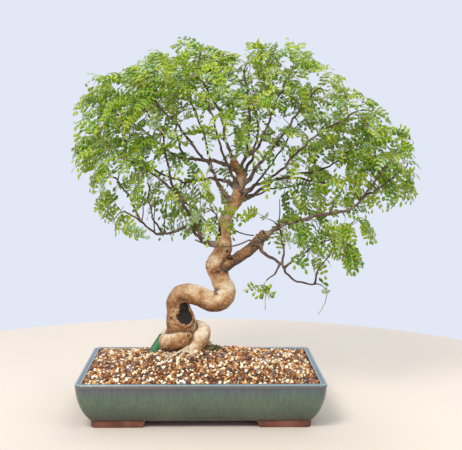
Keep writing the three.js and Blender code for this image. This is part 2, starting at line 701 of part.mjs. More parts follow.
// A direction of the golden-angle spread, number i of count.
function spreadDirection(i, count) {
  const height = 1 - (2 * (i + 0.5)) / count;
  const angle = i * 2.39996;
  const flat = Math.sqrt(1 - height * height);
  return new THREE.Vector3(flat * Math.cos(angle), flat * Math.sin(angle), height);
}

// Grows one spray, leaving out what would touch an earlier piece.
function spray(tip, middle, reach, seed) {
  const random = randomSource(seed);
  const start = new THREE.Vector3(...planted(tip));
  const centre = new THREE.Vector3(...planted(middle));
  const outward = centre.clone().sub(start);
  const hubLength = Math.max(outward.length() * 0.35, 3);
  outward.normalize();
  const hub = start.clone().addScaledVector(outward, hubLength);
  const hubEnd = hub.clone().addScaledVector(outward, TWIG_RADIUS);
  const stem = sweep([[...start.toArray(), TWIG_RADIUS], [...hubEnd.toArray(), TWIG_RADIUS * 1.4]], 4);
  let whole = largestBody(cutBack(stem));
  for (let twig = 0; twig < TWIGS_PER_SPRAY; twig += 1) {
    const away = spreadDirection(twig, TWIGS_PER_SPRAY);
    away.applyAxisAngle(new THREE.Vector3(0, 0, 1), random() * 1.2);
    const end = centre.clone().add(away.clone().multiply(new THREE.Vector3(...reach)).multiplyScalar(GROWTH));
    const bend = hub.clone().lerp(end, 0.5).add(new THREE.Vector3(0, 0, 3));
    const route = [hub, bend, end].map((point, i) => [...point.toArray(), TWIG_RADIUS - 0.15 * i]);
    const wood = sweep(route, 3);
    if (!touchesFinished(wood)) {
      whole = whole.add(wood);
      const heading = end.clone().sub(bend).normalize();
      for (let leaf = 0; leaf < (twig % 2 ? 1 : 2); leaf += 1) {
        const base = leaf === 0 ? end.clone().addScaledVector(heading, -1.5) : bend.clone();
        for (let attempt = 0; attempt < 4; attempt += 1) {
          const direction = heading.clone().multiplyScalar(leaf === 0 ? 1 : 0.3).add(
            new THREE.Vector3(random() - 0.5, random() - 0.5, (random() - 0.75) * 0.9));
          direction.normalize();
          const length = LEAF_LENGTH * (0.75 + 0.4 * random());
          const plate = leafPlate(base, direction, length, LEAF_WIDTH);
          if (!touchesFinished(plate)) {
            whole = whole.add(plate);
            break;
          }
        }
      }
    }
  }
  return largestBody(whole.simplify(CUT_TOLERANCE));
}

function growFoliage() {
  Object.entries(SPRAYS).forEach(([name, [tip, middle, reach]], index) => {
    const solid = spray(tip, middle, reach, index + 1);
    const colour = [0x7f963e, 0x7b951a, 0x617914][index % 3];
    finished.push({
      name: `foliage_${name}`,
      solid,
      grown: solid,
      box: solid.boundingBox(),
      material: material(colour, 0.55),
    });
  });
}

growFoliage();

// ---------------------------------------------------------------- the scene graph

const group = new THREE.Group();

finished.forEach(({ name, solid, material: look }) => {
  const mesh = solid.getMesh();
  const geometry = new THREE.BufferGeometry();
  geometry.setAttribute('position', new THREE.BufferAttribute(mesh.vertProperties, 3));
  geometry.setIndex(new THREE.BufferAttribute(mesh.triVerts, 1));
  const part = new THREE.Mesh(geometry, new THREE.MeshStandardMaterial(look));
  part.name = name;
  group.add(part);
});

// The origin goes to the middle of the whole object's box, on the table.
const wholeBox = new THREE.Box3().setFromObject(group, true);
const middle = wholeBox.getCenter(new THREE.Vector3());
group.children.forEach((part) => part.position.set(-middle.x, -middle.y, -wholeBox.min.z));

export default group;
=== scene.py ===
import json
import math
import random

import bmesh
import bpy
import numpy as np
from mathutils import Matrix, Vector, kdtree, noise
from numpy.linalg import norm

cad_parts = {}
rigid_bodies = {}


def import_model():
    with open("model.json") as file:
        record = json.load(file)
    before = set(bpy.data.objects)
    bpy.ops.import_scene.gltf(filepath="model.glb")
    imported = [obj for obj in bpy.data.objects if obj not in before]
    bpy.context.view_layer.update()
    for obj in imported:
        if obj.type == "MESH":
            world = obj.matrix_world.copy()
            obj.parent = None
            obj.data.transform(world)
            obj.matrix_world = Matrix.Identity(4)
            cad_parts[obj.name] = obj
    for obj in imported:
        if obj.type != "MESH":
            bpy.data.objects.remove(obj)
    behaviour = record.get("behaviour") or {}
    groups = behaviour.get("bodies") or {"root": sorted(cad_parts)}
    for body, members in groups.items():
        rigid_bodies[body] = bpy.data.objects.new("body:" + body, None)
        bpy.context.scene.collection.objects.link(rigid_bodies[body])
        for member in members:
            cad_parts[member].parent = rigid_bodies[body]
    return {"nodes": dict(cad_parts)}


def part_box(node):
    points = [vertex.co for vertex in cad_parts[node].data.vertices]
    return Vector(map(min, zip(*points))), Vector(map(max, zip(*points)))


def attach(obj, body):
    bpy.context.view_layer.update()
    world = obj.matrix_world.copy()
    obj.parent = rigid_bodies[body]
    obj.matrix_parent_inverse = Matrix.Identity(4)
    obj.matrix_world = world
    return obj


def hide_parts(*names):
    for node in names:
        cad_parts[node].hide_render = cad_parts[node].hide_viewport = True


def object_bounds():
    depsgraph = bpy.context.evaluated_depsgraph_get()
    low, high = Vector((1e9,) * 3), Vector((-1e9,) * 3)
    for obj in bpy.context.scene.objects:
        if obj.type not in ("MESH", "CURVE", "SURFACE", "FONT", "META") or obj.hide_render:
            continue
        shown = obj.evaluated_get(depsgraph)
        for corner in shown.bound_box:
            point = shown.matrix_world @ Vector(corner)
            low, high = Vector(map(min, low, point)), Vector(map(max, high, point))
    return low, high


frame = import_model()
cad_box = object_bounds()
scene = bpy.context.scene

# ---------------------------------------------------------------- pot
# A shallow stoneware tray pressed from slabs, with a proud rim and four corner feet left bare.
# The outside and the rim carry a celadon glaze that pales where it runs thin over an edge; the pale line on
# the rim's edges is a painted highlight.
# Two drain holes and four wire holes are cut through the floor.

MM = 0.001
POT_LOW, POT_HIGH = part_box("pot")
POT_X = (POT_LOW.x + POT_HIGH.x) / 2
POT_Y = (POT_LOW.y + POT_HIGH.y) / 2
POT_LENGTH = (POT_HIGH.x - POT_LOW.x) / MM
POT_DEPTH = (POT_HIGH.y - POT_LOW.y) / MM
POT_HEIGHT = POT_HIGH.z / MM
POT_WALL = 8
POT_TAPER = 16.5
WALL_CURVE = 2.3
POT_CORNER = 9
LIP_HEIGHT = 4
LIP_PROUD = 0.7
FOOT_HEIGHT = 8.2
FLOOR_Z = 14.2
FOOT_LENGTH, FOOT_RETURN, FOOT_WIDTH, FOOT_SLOPE = 67, 44, 17, 4.5
DRAIN_RADIUS, DRAIN_X = 11, 72
WIRE_HOLE_RADIUS, WIRE_HOLE_X, WIRE_HOLE_Y = 2.5, 46, 30
BARE_BELOW = 46                      # below this height the inside is bare clay


def linear(code):
    """An sRGB hex colour as the linear colour that shaders take."""
    parts = [int(code[i:i + 2], 16) / 255 for i in (1, 3, 5)]
    return tuple(c / 12.92 if c < 0.04045 else ((c + 0.055) / 1.055) ** 2.4 for c in parts) + (1,)


def feed(node, links):
    """Gives each input socket, by name or number, a value or the node or socket that feeds it."""
    for key, value in links.items():
        if isinstance(key, str):
            socket = next(s for s in node.inputs if s.name == key and s.enabled)
        else:
            socket = node.inputs[key]
        if isinstance(value, bpy.types.Node):
            value = next(s for s in value.outputs if s.enabled)
        if isinstance(value, bpy.types.NodeSocket):
            node.id_data.links.new(value, socket)
        else:
            socket.default_value = value


def add_node(tree, kind, settings=None, links=None):
    """Adds a node, by its type without ShaderNode or by its whole type, its settings and what feeds it."""
    node = tree.nodes.new(kind if "Node" in kind else "ShaderNode" + kind)
    for name, value in (settings or {}).items():
        if name != "stops":
            setattr(node, name, value)
            continue
        ramp = node.color_ramp.elements
        while len(ramp) < len(value):
            ramp.new(0.5)
        for element, (place, _) in zip(ramp, value):
            element.position = place
        for element, (_, colour) in zip(ramp, value):
            element.color = linear(colour)
    feed(node, links or {})
    return node


def new_material(name, **surface):
    """A Principled surface and object coordinates; surface sets sockets, spelt with _ for a space."""
    made = bpy.data.materials.new(name)
    made.use_nodes = True
    tree = made.node_tree
    shader = tree.nodes["Principled BSDF"]
    for socket, value in surface.items():
        shader.inputs[socket.replace("_", " ")].default_value = value
    return made, tree, shader, add_node(tree, "TexCoord").outputs["Object"]


def mottled(name, scale, detail, shades, relief=0, depth=0, shine=None, **surface):
    """A finish led by one noise: its shades, bumps of depth in mm, and roughness from and to in shine."""
    made, tree, shader, where = new_material(name, **surface)
    cloud = add_node(tree, "TexNoise", links={"Vector": where, "Scale": scale, "Detail": detail})
    feed(shader, {"Base Color": add_node(tree, "ValToRGB", {"stops": shades}, {"Fac": cloud})})
    if relief:
        feed(shader, {"Normal": add_node(tree, "Bump", links={
            "Strength": relief, "Distance": depth * MM, "Height": cloud})})
    if shine:
        feed(shader, {"Roughness": add_node(tree, "MapRange", links={
            "Value": cloud, "To Min": shine[0], "To Max": shine[1]})})
    return made


def layered(tree, coat, *layers):
    """Lays colours over a colour: each layer is its amount and a hex code or the node that gives it."""
    for amount, tint in layers:
        coat = add_node(tree, "Mix", {"data_type": "RGBA"}, {
            "Factor": amount, "A": coat, "B": linear(tint) if isinstance(tint, str) else tint})
    return coat


def new_piece(name, points, faces, *materials):
    """A mesh object of points in metres, smooth shaded."""
    mesh = bpy.data.meshes.new(name)
    mesh.from_pydata([tuple(p) for p in points], [], [tuple(f) for f in faces])
    mesh.polygons.foreach_set("use_smooth", [True] * len(mesh.polygons))
    for made in materials:
        mesh.materials.append(made)
    piece = bpy.data.objects.new(name, mesh)
    scene.collection.objects.link(piece)
    return piece


def store(mesh, label, values, kind="FLOAT", domain="POINT"):
    """Keeps one value, or one vector, for each point or face of a mesh under a name."""
    field = "vector" if kind == "FLOAT_VECTOR" else "value"
    mesh.attributes.new(label, kind, domain).data.foreach_set(field, np.array(values, np.float32).ravel())


def loft(rows, sides):
    """The faces of a skin over rows of points, each row with that many sides, and of both its ends."""
    faces = [(a + i, a + (i + 1) % sides, a + sides + (i + 1) % sides, a + sides + i)
             for a in range(0, (rows - 1) * sides, sides) for i in range(sides)]
    return faces + [tuple(range(sides - 1, -1, -1)), tuple(range((rows - 1) * sides, rows * sides))]


def bake_modifiers(piece):
    """Keeps what the modifiers make as the piece's own plain mesh."""
    graph = bpy.context.evaluated_depsgraph_get()
    mesh = bpy.data.meshes.new_from_object(
        piece.evaluated_get(graph), preserve_all_data_layers=True, depsgraph=graph)
    piece.modifiers.clear()
    piece.data = mesh
    mesh.name = piece.name
    return piece


def hand_over(piece, slot, *nodes):
    """Puts a piece on the root body and hides the nodes it stands for; slot is not used."""
    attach(piece, "root")
    if nodes:
        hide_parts(*nodes)


def in_pot(x, y, z):
    """A place in millimetres from the middle of the pot on the table, in the row frame."""
    return (POT_X + x * MM, POT_Y + y * MM, z * MM)


def pot_ring(z, inset, arc_steps=10, side_steps=6):
    """A rounded rectangle, counterclockwise, with how far round each corner every point is."""
    half_x, half_y = POT_LENGTH / 2 - inset, POT_DEPTH / 2 - inset
    radius = max(POT_CORNER - inset * 0.5, 4)
    signs = [(1, 1), (-1, 1), (-1, -1), (1, -1)]
    ring = []
    for quarter, (sx, sy) in enumerate(signs):
        for step in range(arc_steps + 1):
            angle = (quarter + step / arc_steps) * math.pi / 2
            x = sx * (half_x - radius) + radius * math.cos(angle)
            y = sy * (half_y - radius) + radius * math.sin(angle)
            ring.append((x, y, z, 1 - abs(2 * step / arc_steps - 1)))
        nx, ny = signs[(quarter + 1) % 4]
        angle = (quarter + 1) * math.pi / 2
        end = (nx * (half_x - radius) + radius * math.cos(angle),
               ny * (half_y - radius) + radius * math.sin(angle))
        x0, y0 = ring[-1][:2]
        for step in range(1, side_steps):
            share = step / side_steps
            ring.append((x0 + (end[0] - x0) * share, y0 + (end[1] - y0) * share, z, 0))
    return ring


def wall_inset(z):
    """How far the outside has drawn in from the rim at a height."""
    return POT_TAPER * max(1 - (z - FOOT_HEIGHT) / (POT_HEIGHT - FOOT_HEIGHT), 0) ** WALL_CURVE


lip_z = POT_HEIGHT - LIP_HEIGHT
body = [FOOT_HEIGHT + 1.2 + k / 15 * (lip_z - 2.2 - FOOT_HEIGHT - 1.2) for k in range(16)]
profile = [(FOOT_HEIGHT, POT_TAPER + LIP_PROUD + 1.6, 0),
           (FOOT_HEIGHT + 0.3, POT_TAPER + LIP_PROUD + 0.5, 0.8)]
profile += [(z, wall_inset(z) + LIP_PROUD, 0) for z in body]
profile += [
    (lip_z - 1.4, wall_inset(lip_z) + LIP_PROUD, 0), (lip_z - 0.7, LIP_PROUD * 0.8, 0.1),
    (lip_z, LIP_PROUD * 0.3, 0.4), (lip_z + 0.8, 0.03, 0.6), (lip_z + 1.6, 0, 0.4),
    (POT_HEIGHT - 1.5, 0.05, 0.5), (POT_HEIGHT - 0.8, 0.25, 0.9), (POT_HEIGHT - 0.25, 0.8, 1),
    (POT_HEIGHT, 1.6, 0.6), (POT_HEIGHT, POT_WALL / 2, 0), (POT_HEIGHT, POT_WALL - 1.9, 0.2),
    (POT_HEIGHT - 0.3, POT_WALL - 0.8, 0.9), (POT_HEIGHT - 1.1, POT_WALL - 0.1, 0.6)]
profile += [(z, wall_inset(z) + POT_WALL, 0) for z in (lip_z + 1.5, lip_z - 4, 42, 33, 26, 20, FLOOR_Z + 3)]
profile += [(FLOOR_Z + 0.9, wall_inset(FLOOR_Z) + POT_WALL + 1, 0),
            (FLOOR_Z, wall_inset(FLOOR_Z) + POT_WALL + 3.2, 0)]

rings = [pot_ring(z, inset) for z, inset, _ in profile]
points, thin = [], []
for (z, inset, edge), ring in zip(profile, rings):
    for x, y, height, corner in ring:
        # a hand-pressed wall is never quite straight
        bow = 0.5 * noise.noise(Vector((x / 60, y / 60, z / 30))) if 12 < z < lip_z else 0
        reach = math.hypot(x, y)
        points.append(in_pot(x * (1 + bow / reach), y * (1 + bow / reach), height))
        thin.append(max(edge, 0.55 * corner ** 3 if z > 11 and inset < 20 else 0))
pot_body = new_piece("pot_body", points, loft(len(rings), len(rings[0])))
store(pot_body.data, "thin_glaze", thin)

cutters = []
for sx in (-1, 1):
    for x, y, radius in ((DRAIN_X, 0, DRAIN_RADIUS), (WIRE_HOLE_X, WIRE_HOLE_Y, WIRE_HOLE_RADIUS),
                         (WIRE_HOLE_X, -WIRE_HOLE_Y, WIRE_HOLE_RADIUS)):
        cutter = bmesh.new()
        sides = 48 if radius > 5 else 24
        bmesh.ops.create_cone(cutter, cap_ends=True, segments=sides, radius1=radius * MM, radius2=radius * MM,
                              depth=20 * MM, matrix=Matrix.Translation(in_pot(sx * x, y, FLOOR_Z - 3)))
        mesh = bpy.data.meshes.new("hole")
        cutter.to_mesh(mesh)
        cutter.free()
        hole = bpy.data.objects.new("hole", mesh)
        scene.collection.objects.link(hole)
        cut = pot_body.modifiers.new("hole", "BOOLEAN")
        cut.operation, cut.solver, cut.object = "DIFFERENCE", "EXACT", hole
        cutters.append(hole)
bake_modifiers(pot_body)
for hole in cutters:
    bpy.data.objects.remove(hole)

# Celadon over stoneware: a glassy, slightly pooled glaze. It gives a soft sharp shine, a darker pool low on
# the wall, a purplish band where it is thick under the rim, a light edge where it runs thin, and a teal rim
# whose blue is partly painted reflection, with a painted highlight along its edges.
glaze, tree, shader, where = new_material("celadon_glaze", IOR=1.52, Coat_Weight=0.35, Coat_Roughness=0.08)
height = add_node(tree, "SeparateXYZ", links={0: where}).outputs["Z"]
drift = add_node(tree, "TexNoise", links={"Vector": where, "Scale": 26.0, "Detail": 3.0})
level = add_node(tree, "MapRange", links={
    "Value": height, "From Min": FOOT_HEIGHT * MM, "From Max": POT_HEIGHT * MM})
dropped = add_node(tree, "MapRange", links={"Value": drift, "To Min": -0.16, "To Max": 0.12})
wavy = add_node(tree, "Math", links={0: dropped, 1: level})
bands = add_node(tree, "ValToRGB", {"stops": [
    (0.045, "#3c4336"), (0.16, "#4f5b49"), (0.45, "#596b56"), (0.66, "#576a5a"), (0.78, "#565e62"),
    (0.93, "#4b505b"), (1.0, "#45423f")]}, {"Fac": wavy})
tall = add_node(tree, "Mapping", links={"Vector": where, "Scale": (1, 1, 0.05)})
streaks = add_node(tree, "TexNoise", links={"Vector": tall, "Scale": 330.0, "Detail": 4.0})
streak_tint = add_node(tree, "ValToRGB", {"stops": [(0.3, "#b3b9b4"), (0.68, "#ffffff")]},
                       {"Fac": streaks})
streaked = add_node(tree, "Mix", {"data_type": "RGBA", "blend_type": "MULTIPLY"}, {
    "Factor": 0.5, "A": bands, "B": streak_tint})
slender = add_node(tree, "Mapping", links={"Vector": where, "Scale": (1, 1, 0.22)})
cells = add_node(tree, "TexVoronoi", {"feature": "DISTANCE_TO_EDGE"}, {
    "Vector": slender, "Scale": 190.0})
crackle = add_node(tree, "MapRange", links={
    "Value": cells, "From Max": 0.045, "To Min": 0.4, "To Max": 0.0})
break_and_highlight_at = add_node(tree, "Attribute", {"attribute_name": "thin_glaze"}).outputs["Fac"]
ragged = add_node(tree, "Math", {"operation": "MULTIPLY_ADD"}, {0: drift, 1: 0.7, 2: -0.35})
breaks = add_node(tree, "Math", {"operation": "ADD", "use_clamp": True}, {0: break_and_highlight_at, 1: ragged})
worn = add_node(tree, "Math", {"operation": "MULTIPLY"}, {0: breaks, 1: 0.62})
# The rim is painted dark teal, partly as painted reflection of the pale sky, and a pale blue-grey line along
# its edges is a painted highlight.
on_rim = add_node(tree, "MapRange", links={
    "Value": height, "From Min": (POT_HEIGHT - 1.4) * MM, "From Max": (POT_HEIGHT - 0.5) * MM})
rim_tint_and_painted_reflection = layered(tree, linear("#223c43"), (break_and_highlight_at, "#86a1a8"))
glazed = layered(tree, streaked, (crackle, "#3c4238"), (worn, "#8a7a68"), (on_rim, rim_tint_and_painted_reflection))
shine = add_node(tree, "MapRange", links={"Value": drift, "To Min": 0.16, "To Max": 0.34})
swell = add_node(tree, "Bump", links={
    "Strength": 0.35, "Distance": 0.35 * MM, "Height": streaks})
feed(shader, {"Base Color": glazed, "Roughness": shine, "Normal": swell})

# Fired clay with no glaze: dry, gritty and dull, red-brown, with sand grains of about 0.5 mm.
clay, tree, shader, where = new_material("bare_fired_clay", IOR=1.5, Roughness=0.9)
grit = add_node(tree, "TexNoise", links={"Vector": where, "Scale": 900.0, "Detail": 5.0})
smoke = add_node(tree, "TexNoise", links={"Vector": where, "Scale": 60.0, "Detail": 3.0})
both = add_node(tree, "Math", {"operation": "MULTIPLY_ADD"}, {0: grit, 1: 0.5, 2: smoke})
fired = add_node(tree, "ValToRGB", {"stops": [
    (0.45, "#4a2c21"), (0.75, "#693e2f"), (1.0, "#85543f")]}, {"Fac": both})
rough = add_node(tree, "Bump", links={"Strength": 0.6, "Distance": 0.25 * MM, "Height": grit})
feed(shader, {"Base Color": fired, "Normal": rough})

for made in (glaze, clay):
    pot_body.data.materials.append(made)
inner = POT_LENGTH / 2 - POT_WALL
for face in pot_body.data.polygons:
    x, y, z = (face.center - Vector((POT_X, POT_Y, 0))) / MM
    inside = abs(x) < inner and abs(y) < POT_DEPTH / 2 - POT_WALL + 0.5
    under = z < FOOT_HEIGHT + 0.25
    face.material_index = 1 if under or (inside and z < BARE_BELOW and face.normal.z > -0.9 and (
        abs(x) < POT_LENGTH / 2 - wall_inset(z) - POT_WALL + 0.6
        and abs(y) < POT_DEPTH / 2 - wall_inset(z) - POT_WALL + 0.6)) else 0
    face.use_smooth = abs(face.normal.z) < 0.999 or z > 50

# The feet: L-shaped corner blocks luted on before firing, flush with the base, their free ends cut sloping.
points, faces = [], []
for sx, sy in ((1, 1), (-1, 1), (-1, -1), (1, -1)):
    half_x, half_y, r = POT_LENGTH / 2 - POT_TAPER - LIP_PROUD, POT_DEPTH / 2 - POT_TAPER - LIP_PROUD, 6
    base = len(points)
    for z, slope, draw in ((FOOT_HEIGHT + 0.6, 0, 0.1), (0.7, FOOT_SLOPE * 0.93, 0.5), (0, FOOT_SLOPE, 1.1)):
        arc = [(half_x - draw - r + r * math.cos(a), half_y - draw - r + r * math.sin(a))
               for a in (math.pi / 2 * k / 6 for k in range(7))]
        outline = [(half_x - draw, half_y - FOOT_RETURN + slope), *arc,
                   (half_x - FOOT_LENGTH + slope, half_y - draw),
                   (half_x - FOOT_LENGTH + slope, half_y - FOOT_WIDTH + draw),
                   (half_x - FOOT_WIDTH + draw, half_y - FOOT_WIDTH + draw),
                   (half_x - FOOT_WIDTH + draw, half_y - FOOT_RETURN + slope)]
        points += [in_pot(sx * x, sy * y, z) for x, y in outline]
    n = len(outline)
    flip = sx * sy < 0
    ring_faces = [(base + a * n + i, base + (a + 1) * n + i, base + (a + 1) * n + (i + 1) % n,
                   base + a * n + (i + 1) % n) for a in range(2) for i in range(n)]
    caps = [tuple(base + i for i in range(n)), tuple(base + 2 * n + i for i in range(n - 1, -1, -1))]
    faces += [f[::-1] if flip else f for f in ring_faces + caps]
pot_feet = new_piece("pot_feet", points, faces, clay)
soften = pot_feet.modifiers.new("soften", "BEVEL")
soften.width, soften.segments, soften.limit_method, soften.angle_limit = 0.7 * MM, 2, "ANGLE", 0.6
bake_modifiers(pot_feet)
hand_over(pot_body, "pot", "pot")
hand_over(pot_feet, "pot", "pot")

# ---------------------------------------------------------------- drain screens, clips, anchor wire, grit
# Square moulded nets lie over the drain holes and are pinned by bent wire clips. A soft aluminium wire comes
# up through the floor and holds the roots down. A layer of coarse pumice keeps the floor draining.
# These lie under the soil; their CAD shapes are right and only take their finishes here.

# Moulded polypropylene: near black, faintly grained, a soft satin shine.
net = mottled("moulded_polypropylene", 220.0, 4.0, [(0.4, "#1b1d1c"), (0.75, "#4a443a")], 0.4, 0.1,
              IOR=1.49, Roughness=0.5)

# Drawn and annealed aluminium wire: dull grey with oxide patches.
wire_metal = mottled("annealed_aluminium_wire", 380.0, 5.0, [(0.35, "#6e675c"), (0.65, "#a7a29a")],
                     shine=(0.65, 0.38), Metallic=1.0)

# Crushed pumice: matt, pale and full of pores of about 1 mm.
pumice_bed, tree, shader, where = new_material("crushed_pumice_layer", IOR=1.5, Roughness=0.95)
pores = add_node(tree, "TexVoronoi", links={"Vector": where, "Scale": 200.0})
pale = add_node(tree, "ValToRGB", {"stops": [(0.1, "#d8ceb4"), (0.6, "#8d7f66")]},
                {"Fac": pores})
pits = add_node(tree, "Bump", links={"Strength": 0.8, "Distance": 1 * MM, "Height": pores})
feed(shader, {"Base Color": pale, "Normal": pits})

for finish, nodes in ((net, ("drain_screen_left", "drain_screen_right")), (pumice_bed, ("drainage_grit",)),
                      (wire_metal, ("screen_clip_left", "screen_clip_right", "anchor_wire"))):
    for node in nodes:
        frame["nodes"][node].data.materials.clear()
        frame["nodes"][node].data.materials.append(finish)

# ---------------------------------------------------------------- soil
# Sieved bonsai mix: hard-fired akadama clay, cream pumice and mauve-grey lava, grains of 3 to 7 mm,
# heaped towards the trunk. Loose, dry on top, with a dark bed in the gaps that is partly moist fines and
# partly painted shade.

SOIL_GRAIN = 4.9
GRAIN_GAP = 3.05
GRAIN_SEED = 11


def merged_copy(node, name):
    """A copy of a CAD node whose loose triangles are joined into one skin."""
    mesh = frame["nodes"][node].data.copy()
    skin = bmesh.new()
    skin.from_mesh(mesh)
    bmesh.ops.remove_doubles(skin, verts=skin.verts, dist=0.01 * MM)
    skin.to_mesh(mesh)
    skin.free()
    mesh.materials.clear()
    piece = bpy.data.objects.new(name, mesh)
    scene.collection.objects.link(piece)
    return piece


def new_tree(name, **sizes):
    """A Geometry Nodes tree with a geometry input and output and one named input for each size."""
    tree = bpy.data.node_groups.new(name, "GeometryNodeTree")
    tree.interface.new_socket("Geometry", in_out="OUTPUT", socket_type="NodeSocketGeometry")
    tree.interface.new_socket("Geometry", in_out="INPUT", socket_type="NodeSocketGeometry")
    for label, kind in sizes.items():
        tree.interface.new_socket(label, in_out="INPUT", socket_type="NodeSocket" + kind)
    return tree, tree.nodes.new("NodeGroupInput").outputs, tree.nodes.new("NodeGroupOutput")


def finish_tree(tree, given, out, shape, smooth):
    """Ends a tree: its instances are made real, shaded and given the finish."""
    real = add_node(tree, "GeometryNodeRealizeInstances", links={"Geometry": shape})
    shaded = add_node(tree, "GeometryNodeSetShadeSmooth", links={"Geometry": real, "Shade Smooth": smooth})
    feed(out, {0: add_node(tree, "GeometryNodeSetMaterial", links={
        "Geometry": shaded, "Material": given["Finish"]})})


def grow(piece, tree, **values):
    """Runs a tree on a piece and keeps the result as the piece's plain mesh."""
    modifier = piece.modifiers.new(tree.name, "NODES")
    modifier.node_group = tree
    for item in tree.interface.items_tree:
        if item.in_out == "INPUT" and item.name in values:
            modifier[item.identifier] = values[item.name]
    return bake_modifiers(piece)


def broken_stones(name, seed, count, flatness, corners=15):
    """A hidden collection of chipped stones, about one unit across."""
    draw = random.Random(seed)
    kinds = bpy.data.collections.new(name)
    for number in range(count):
        stone = bmesh.new()
        for _ in range(corners):
            spot = Vector([draw.gauss(0, 1) for _ in range(3)]).normalized() * draw.uniform(0.42, 0.55)
            stone.verts.new((spot.x, spot.y * draw.uniform(0.7, 1), spot.z * flatness))
        hull = bmesh.ops.convex_hull(stone, input=stone.verts)
        bmesh.ops.delete(stone, geom=hull["geom_interior"], context="VERTS")
        bmesh.ops.recalc_face_normals(stone, faces=stone.faces)
        mesh = bpy.data.meshes.new(name)
        stone.to_mesh(mesh)
        stone.free()
        kinds.objects.link(bpy.data.objects.new(f"{name}_{number}", mesh))
    return kinds


soil_bed = merged_copy("soil", "soil_bed")

# The bed between the grains: dark and matt, partly moist fines and partly painted shade in the gaps.
fines_and_gap_shade = mottled("moist_clay_fines", 500.0, 6.0, [(0.35, "#2c1c12"), (0.7, "#6b482f")], 0.9, 0.8,
                IOR=1.45, Roughness=0.95)
soil_bed.data.materials.append(fines_and_gap_shade)

# Points are thrown once for all three minerals, with a fixed seed; each mineral keeps its own share.
grain_tree, given, out = new_tree("grains_on_a_bed", Gap="Float", Grain="Float", From="Float", To="Float",
                                  Seed="Int", Kinds="Collection", Finish="Material")
normal = add_node(grain_tree, "GeometryNodeInputNormal")
facing = add_node(grain_tree, "SeparateXYZ", links={0: normal}).outputs["Z"]
upward = add_node(grain_tree, "FunctionNodeCompare", links={0: facing, 1: 0.35})
spots = add_node(grain_tree, "GeometryNodeDistributePointsOnFaces", {"distribute_method": "POISSON"}, {
    "Mesh": given["Geometry"], "Selection": upward, "Distance Min": given["Gap"], "Density Max": 400000.0,
    "Seed": given["Seed"]})
lot = add_node(grain_tree, "FunctionNodeRandomValue", links={"Seed": 3})
above = add_node(grain_tree, "FunctionNodeCompare", {"operation": "GREATER_EQUAL"}, {
    0: lot, 1: given["From"]})
below = add_node(grain_tree, "FunctionNodeCompare", {"operation": "LESS_THAN"}, {0: lot, 1: given["To"]})
chosen = add_node(grain_tree, "FunctionNodeBooleanMath", links={0: above, 1: below})
rise = add_node(grain_tree, "FunctionNodeRandomValue", links={2: -0.9 * MM, 3: 1.1 * MM, "Seed": 5})
lift = add_node(grain_tree, "CombineXYZ", links={2: rise})
settled = add_node(grain_tree, "GeometryNodeSetPosition", links={"Geometry": spots, "Offset": lift})
turn = add_node(grain_tree, "FunctionNodeRandomValue", {"data_type": "FLOAT_VECTOR"}, {
    0: (0.0, 0.0, 0.0), 1: (6.28, 6.28, 6.28), "Seed": 7})
spread = add_node(grain_tree, "FunctionNodeRandomValue", links={2: 0.6, 3: 1.42, "Seed": 9})
size = add_node(grain_tree, "Math", {"operation": "MULTIPLY"}, {0: spread, 1: given["Grain"]})
kinds = add_node(grain_tree, "GeometryNodeCollectionInfo", links={
    "Collection": given["Kinds"], "Separate Children": True, "Reset Children": True})
laid = add_node(grain_tree, "GeometryNodeInstanceOnPoints", links={
    "Points": settled, "Selection": chosen, "Instance": kinds, "Pick Instance": True,
    "Rotation": add_node(grain_tree, "FunctionNodeEulerToRotation", links={0: turn}), "Scale": size})
tone = add_node(grain_tree, "FunctionNodeRandomValue", links={"Seed": 13})
toned = add_node(grain_tree, "GeometryNodeStoreNamedAttribute", {"domain": "INSTANCE"}, {
    "Geometry": laid, "Name": "tone", "Value": tone})
finish_tree(grain_tree, given, out, toned, False)

# Each mineral: matt and porous; its tone runs through the shades of a sieved batch.
MINERALS = {
    "akadama_grains": ("fired_akadama_clay", 0.0, 0.54, 0.8, [
        (0.0, "#6b3a20"), (0.3, "#965c34"), (0.55, "#bd8450"), (0.8, "#d9a262"), (1.0, "#ad6632")]),
    "pumice_grains": ("crushed_pumice", 0.54, 0.81, 0.72, [
        (0.0, "#ecd49a"), (0.4, "#fbf0cf"), (0.75, "#fff9e8"), (1.0, "#f4cf86")]),
    "lava_grains": ("crushed_lava", 0.81, 1.0, 0.85, [
        (0.0, "#4e352b"), (0.45, "#7c645d"), (0.8, "#9f8a86"), (1.0, "#4a3226")]),
}
for number, (name, (finish_name, first, last, flatness, shades)) in enumerate(MINERALS.items()):
    finish, tree, shader, where = new_material(finish_name, IOR=1.5, Roughness=0.92)
    pores = add_node(tree, "TexNoise", links={"Vector": where, "Scale": 900.0, "Detail": 4.0})
    tone = add_node(tree, "Attribute", {"attribute_name": "tone"}).outputs["Fac"]
    uneven = add_node(tree, "Math", {"operation": "MULTIPLY_ADD"}, {0: pores, 1: 0.5, 2: tone})
    shifted = add_node(tree, "Math", {"operation": "SUBTRACT"}, {0: uneven, 1: 0.25})
    shade = add_node(tree, "ValToRGB", {"stops": shades}, {"Fac": shifted})
    pits = add_node(tree, "Bump", links={"Strength": 0.7, "Distance": 0.4 * MM, "Height": pores})
    feed(shader, {"Base Color": shade, "Normal": pits})
    stones = broken_stones(name + "_kinds", 20 + number, 6, flatness)
    grains = new_piece(name, [], [])
    grains.data = soil_bed.data.copy()
    grow(grains, grain_tree, Gap=GRAIN_GAP * MM, Grain=SOIL_GRAIN * MM, From=first, To=last,
         Seed=GRAIN_SEED, Kinds=stones, Finish=finish)
    hand_over(grains, "soil", "soil")
    for stone in list(stones.objects):
        bpy.data.objects.remove(stone)
    bpy.data.collections.remove(stones)
hand_over(soil_bed, "soil", "soil")

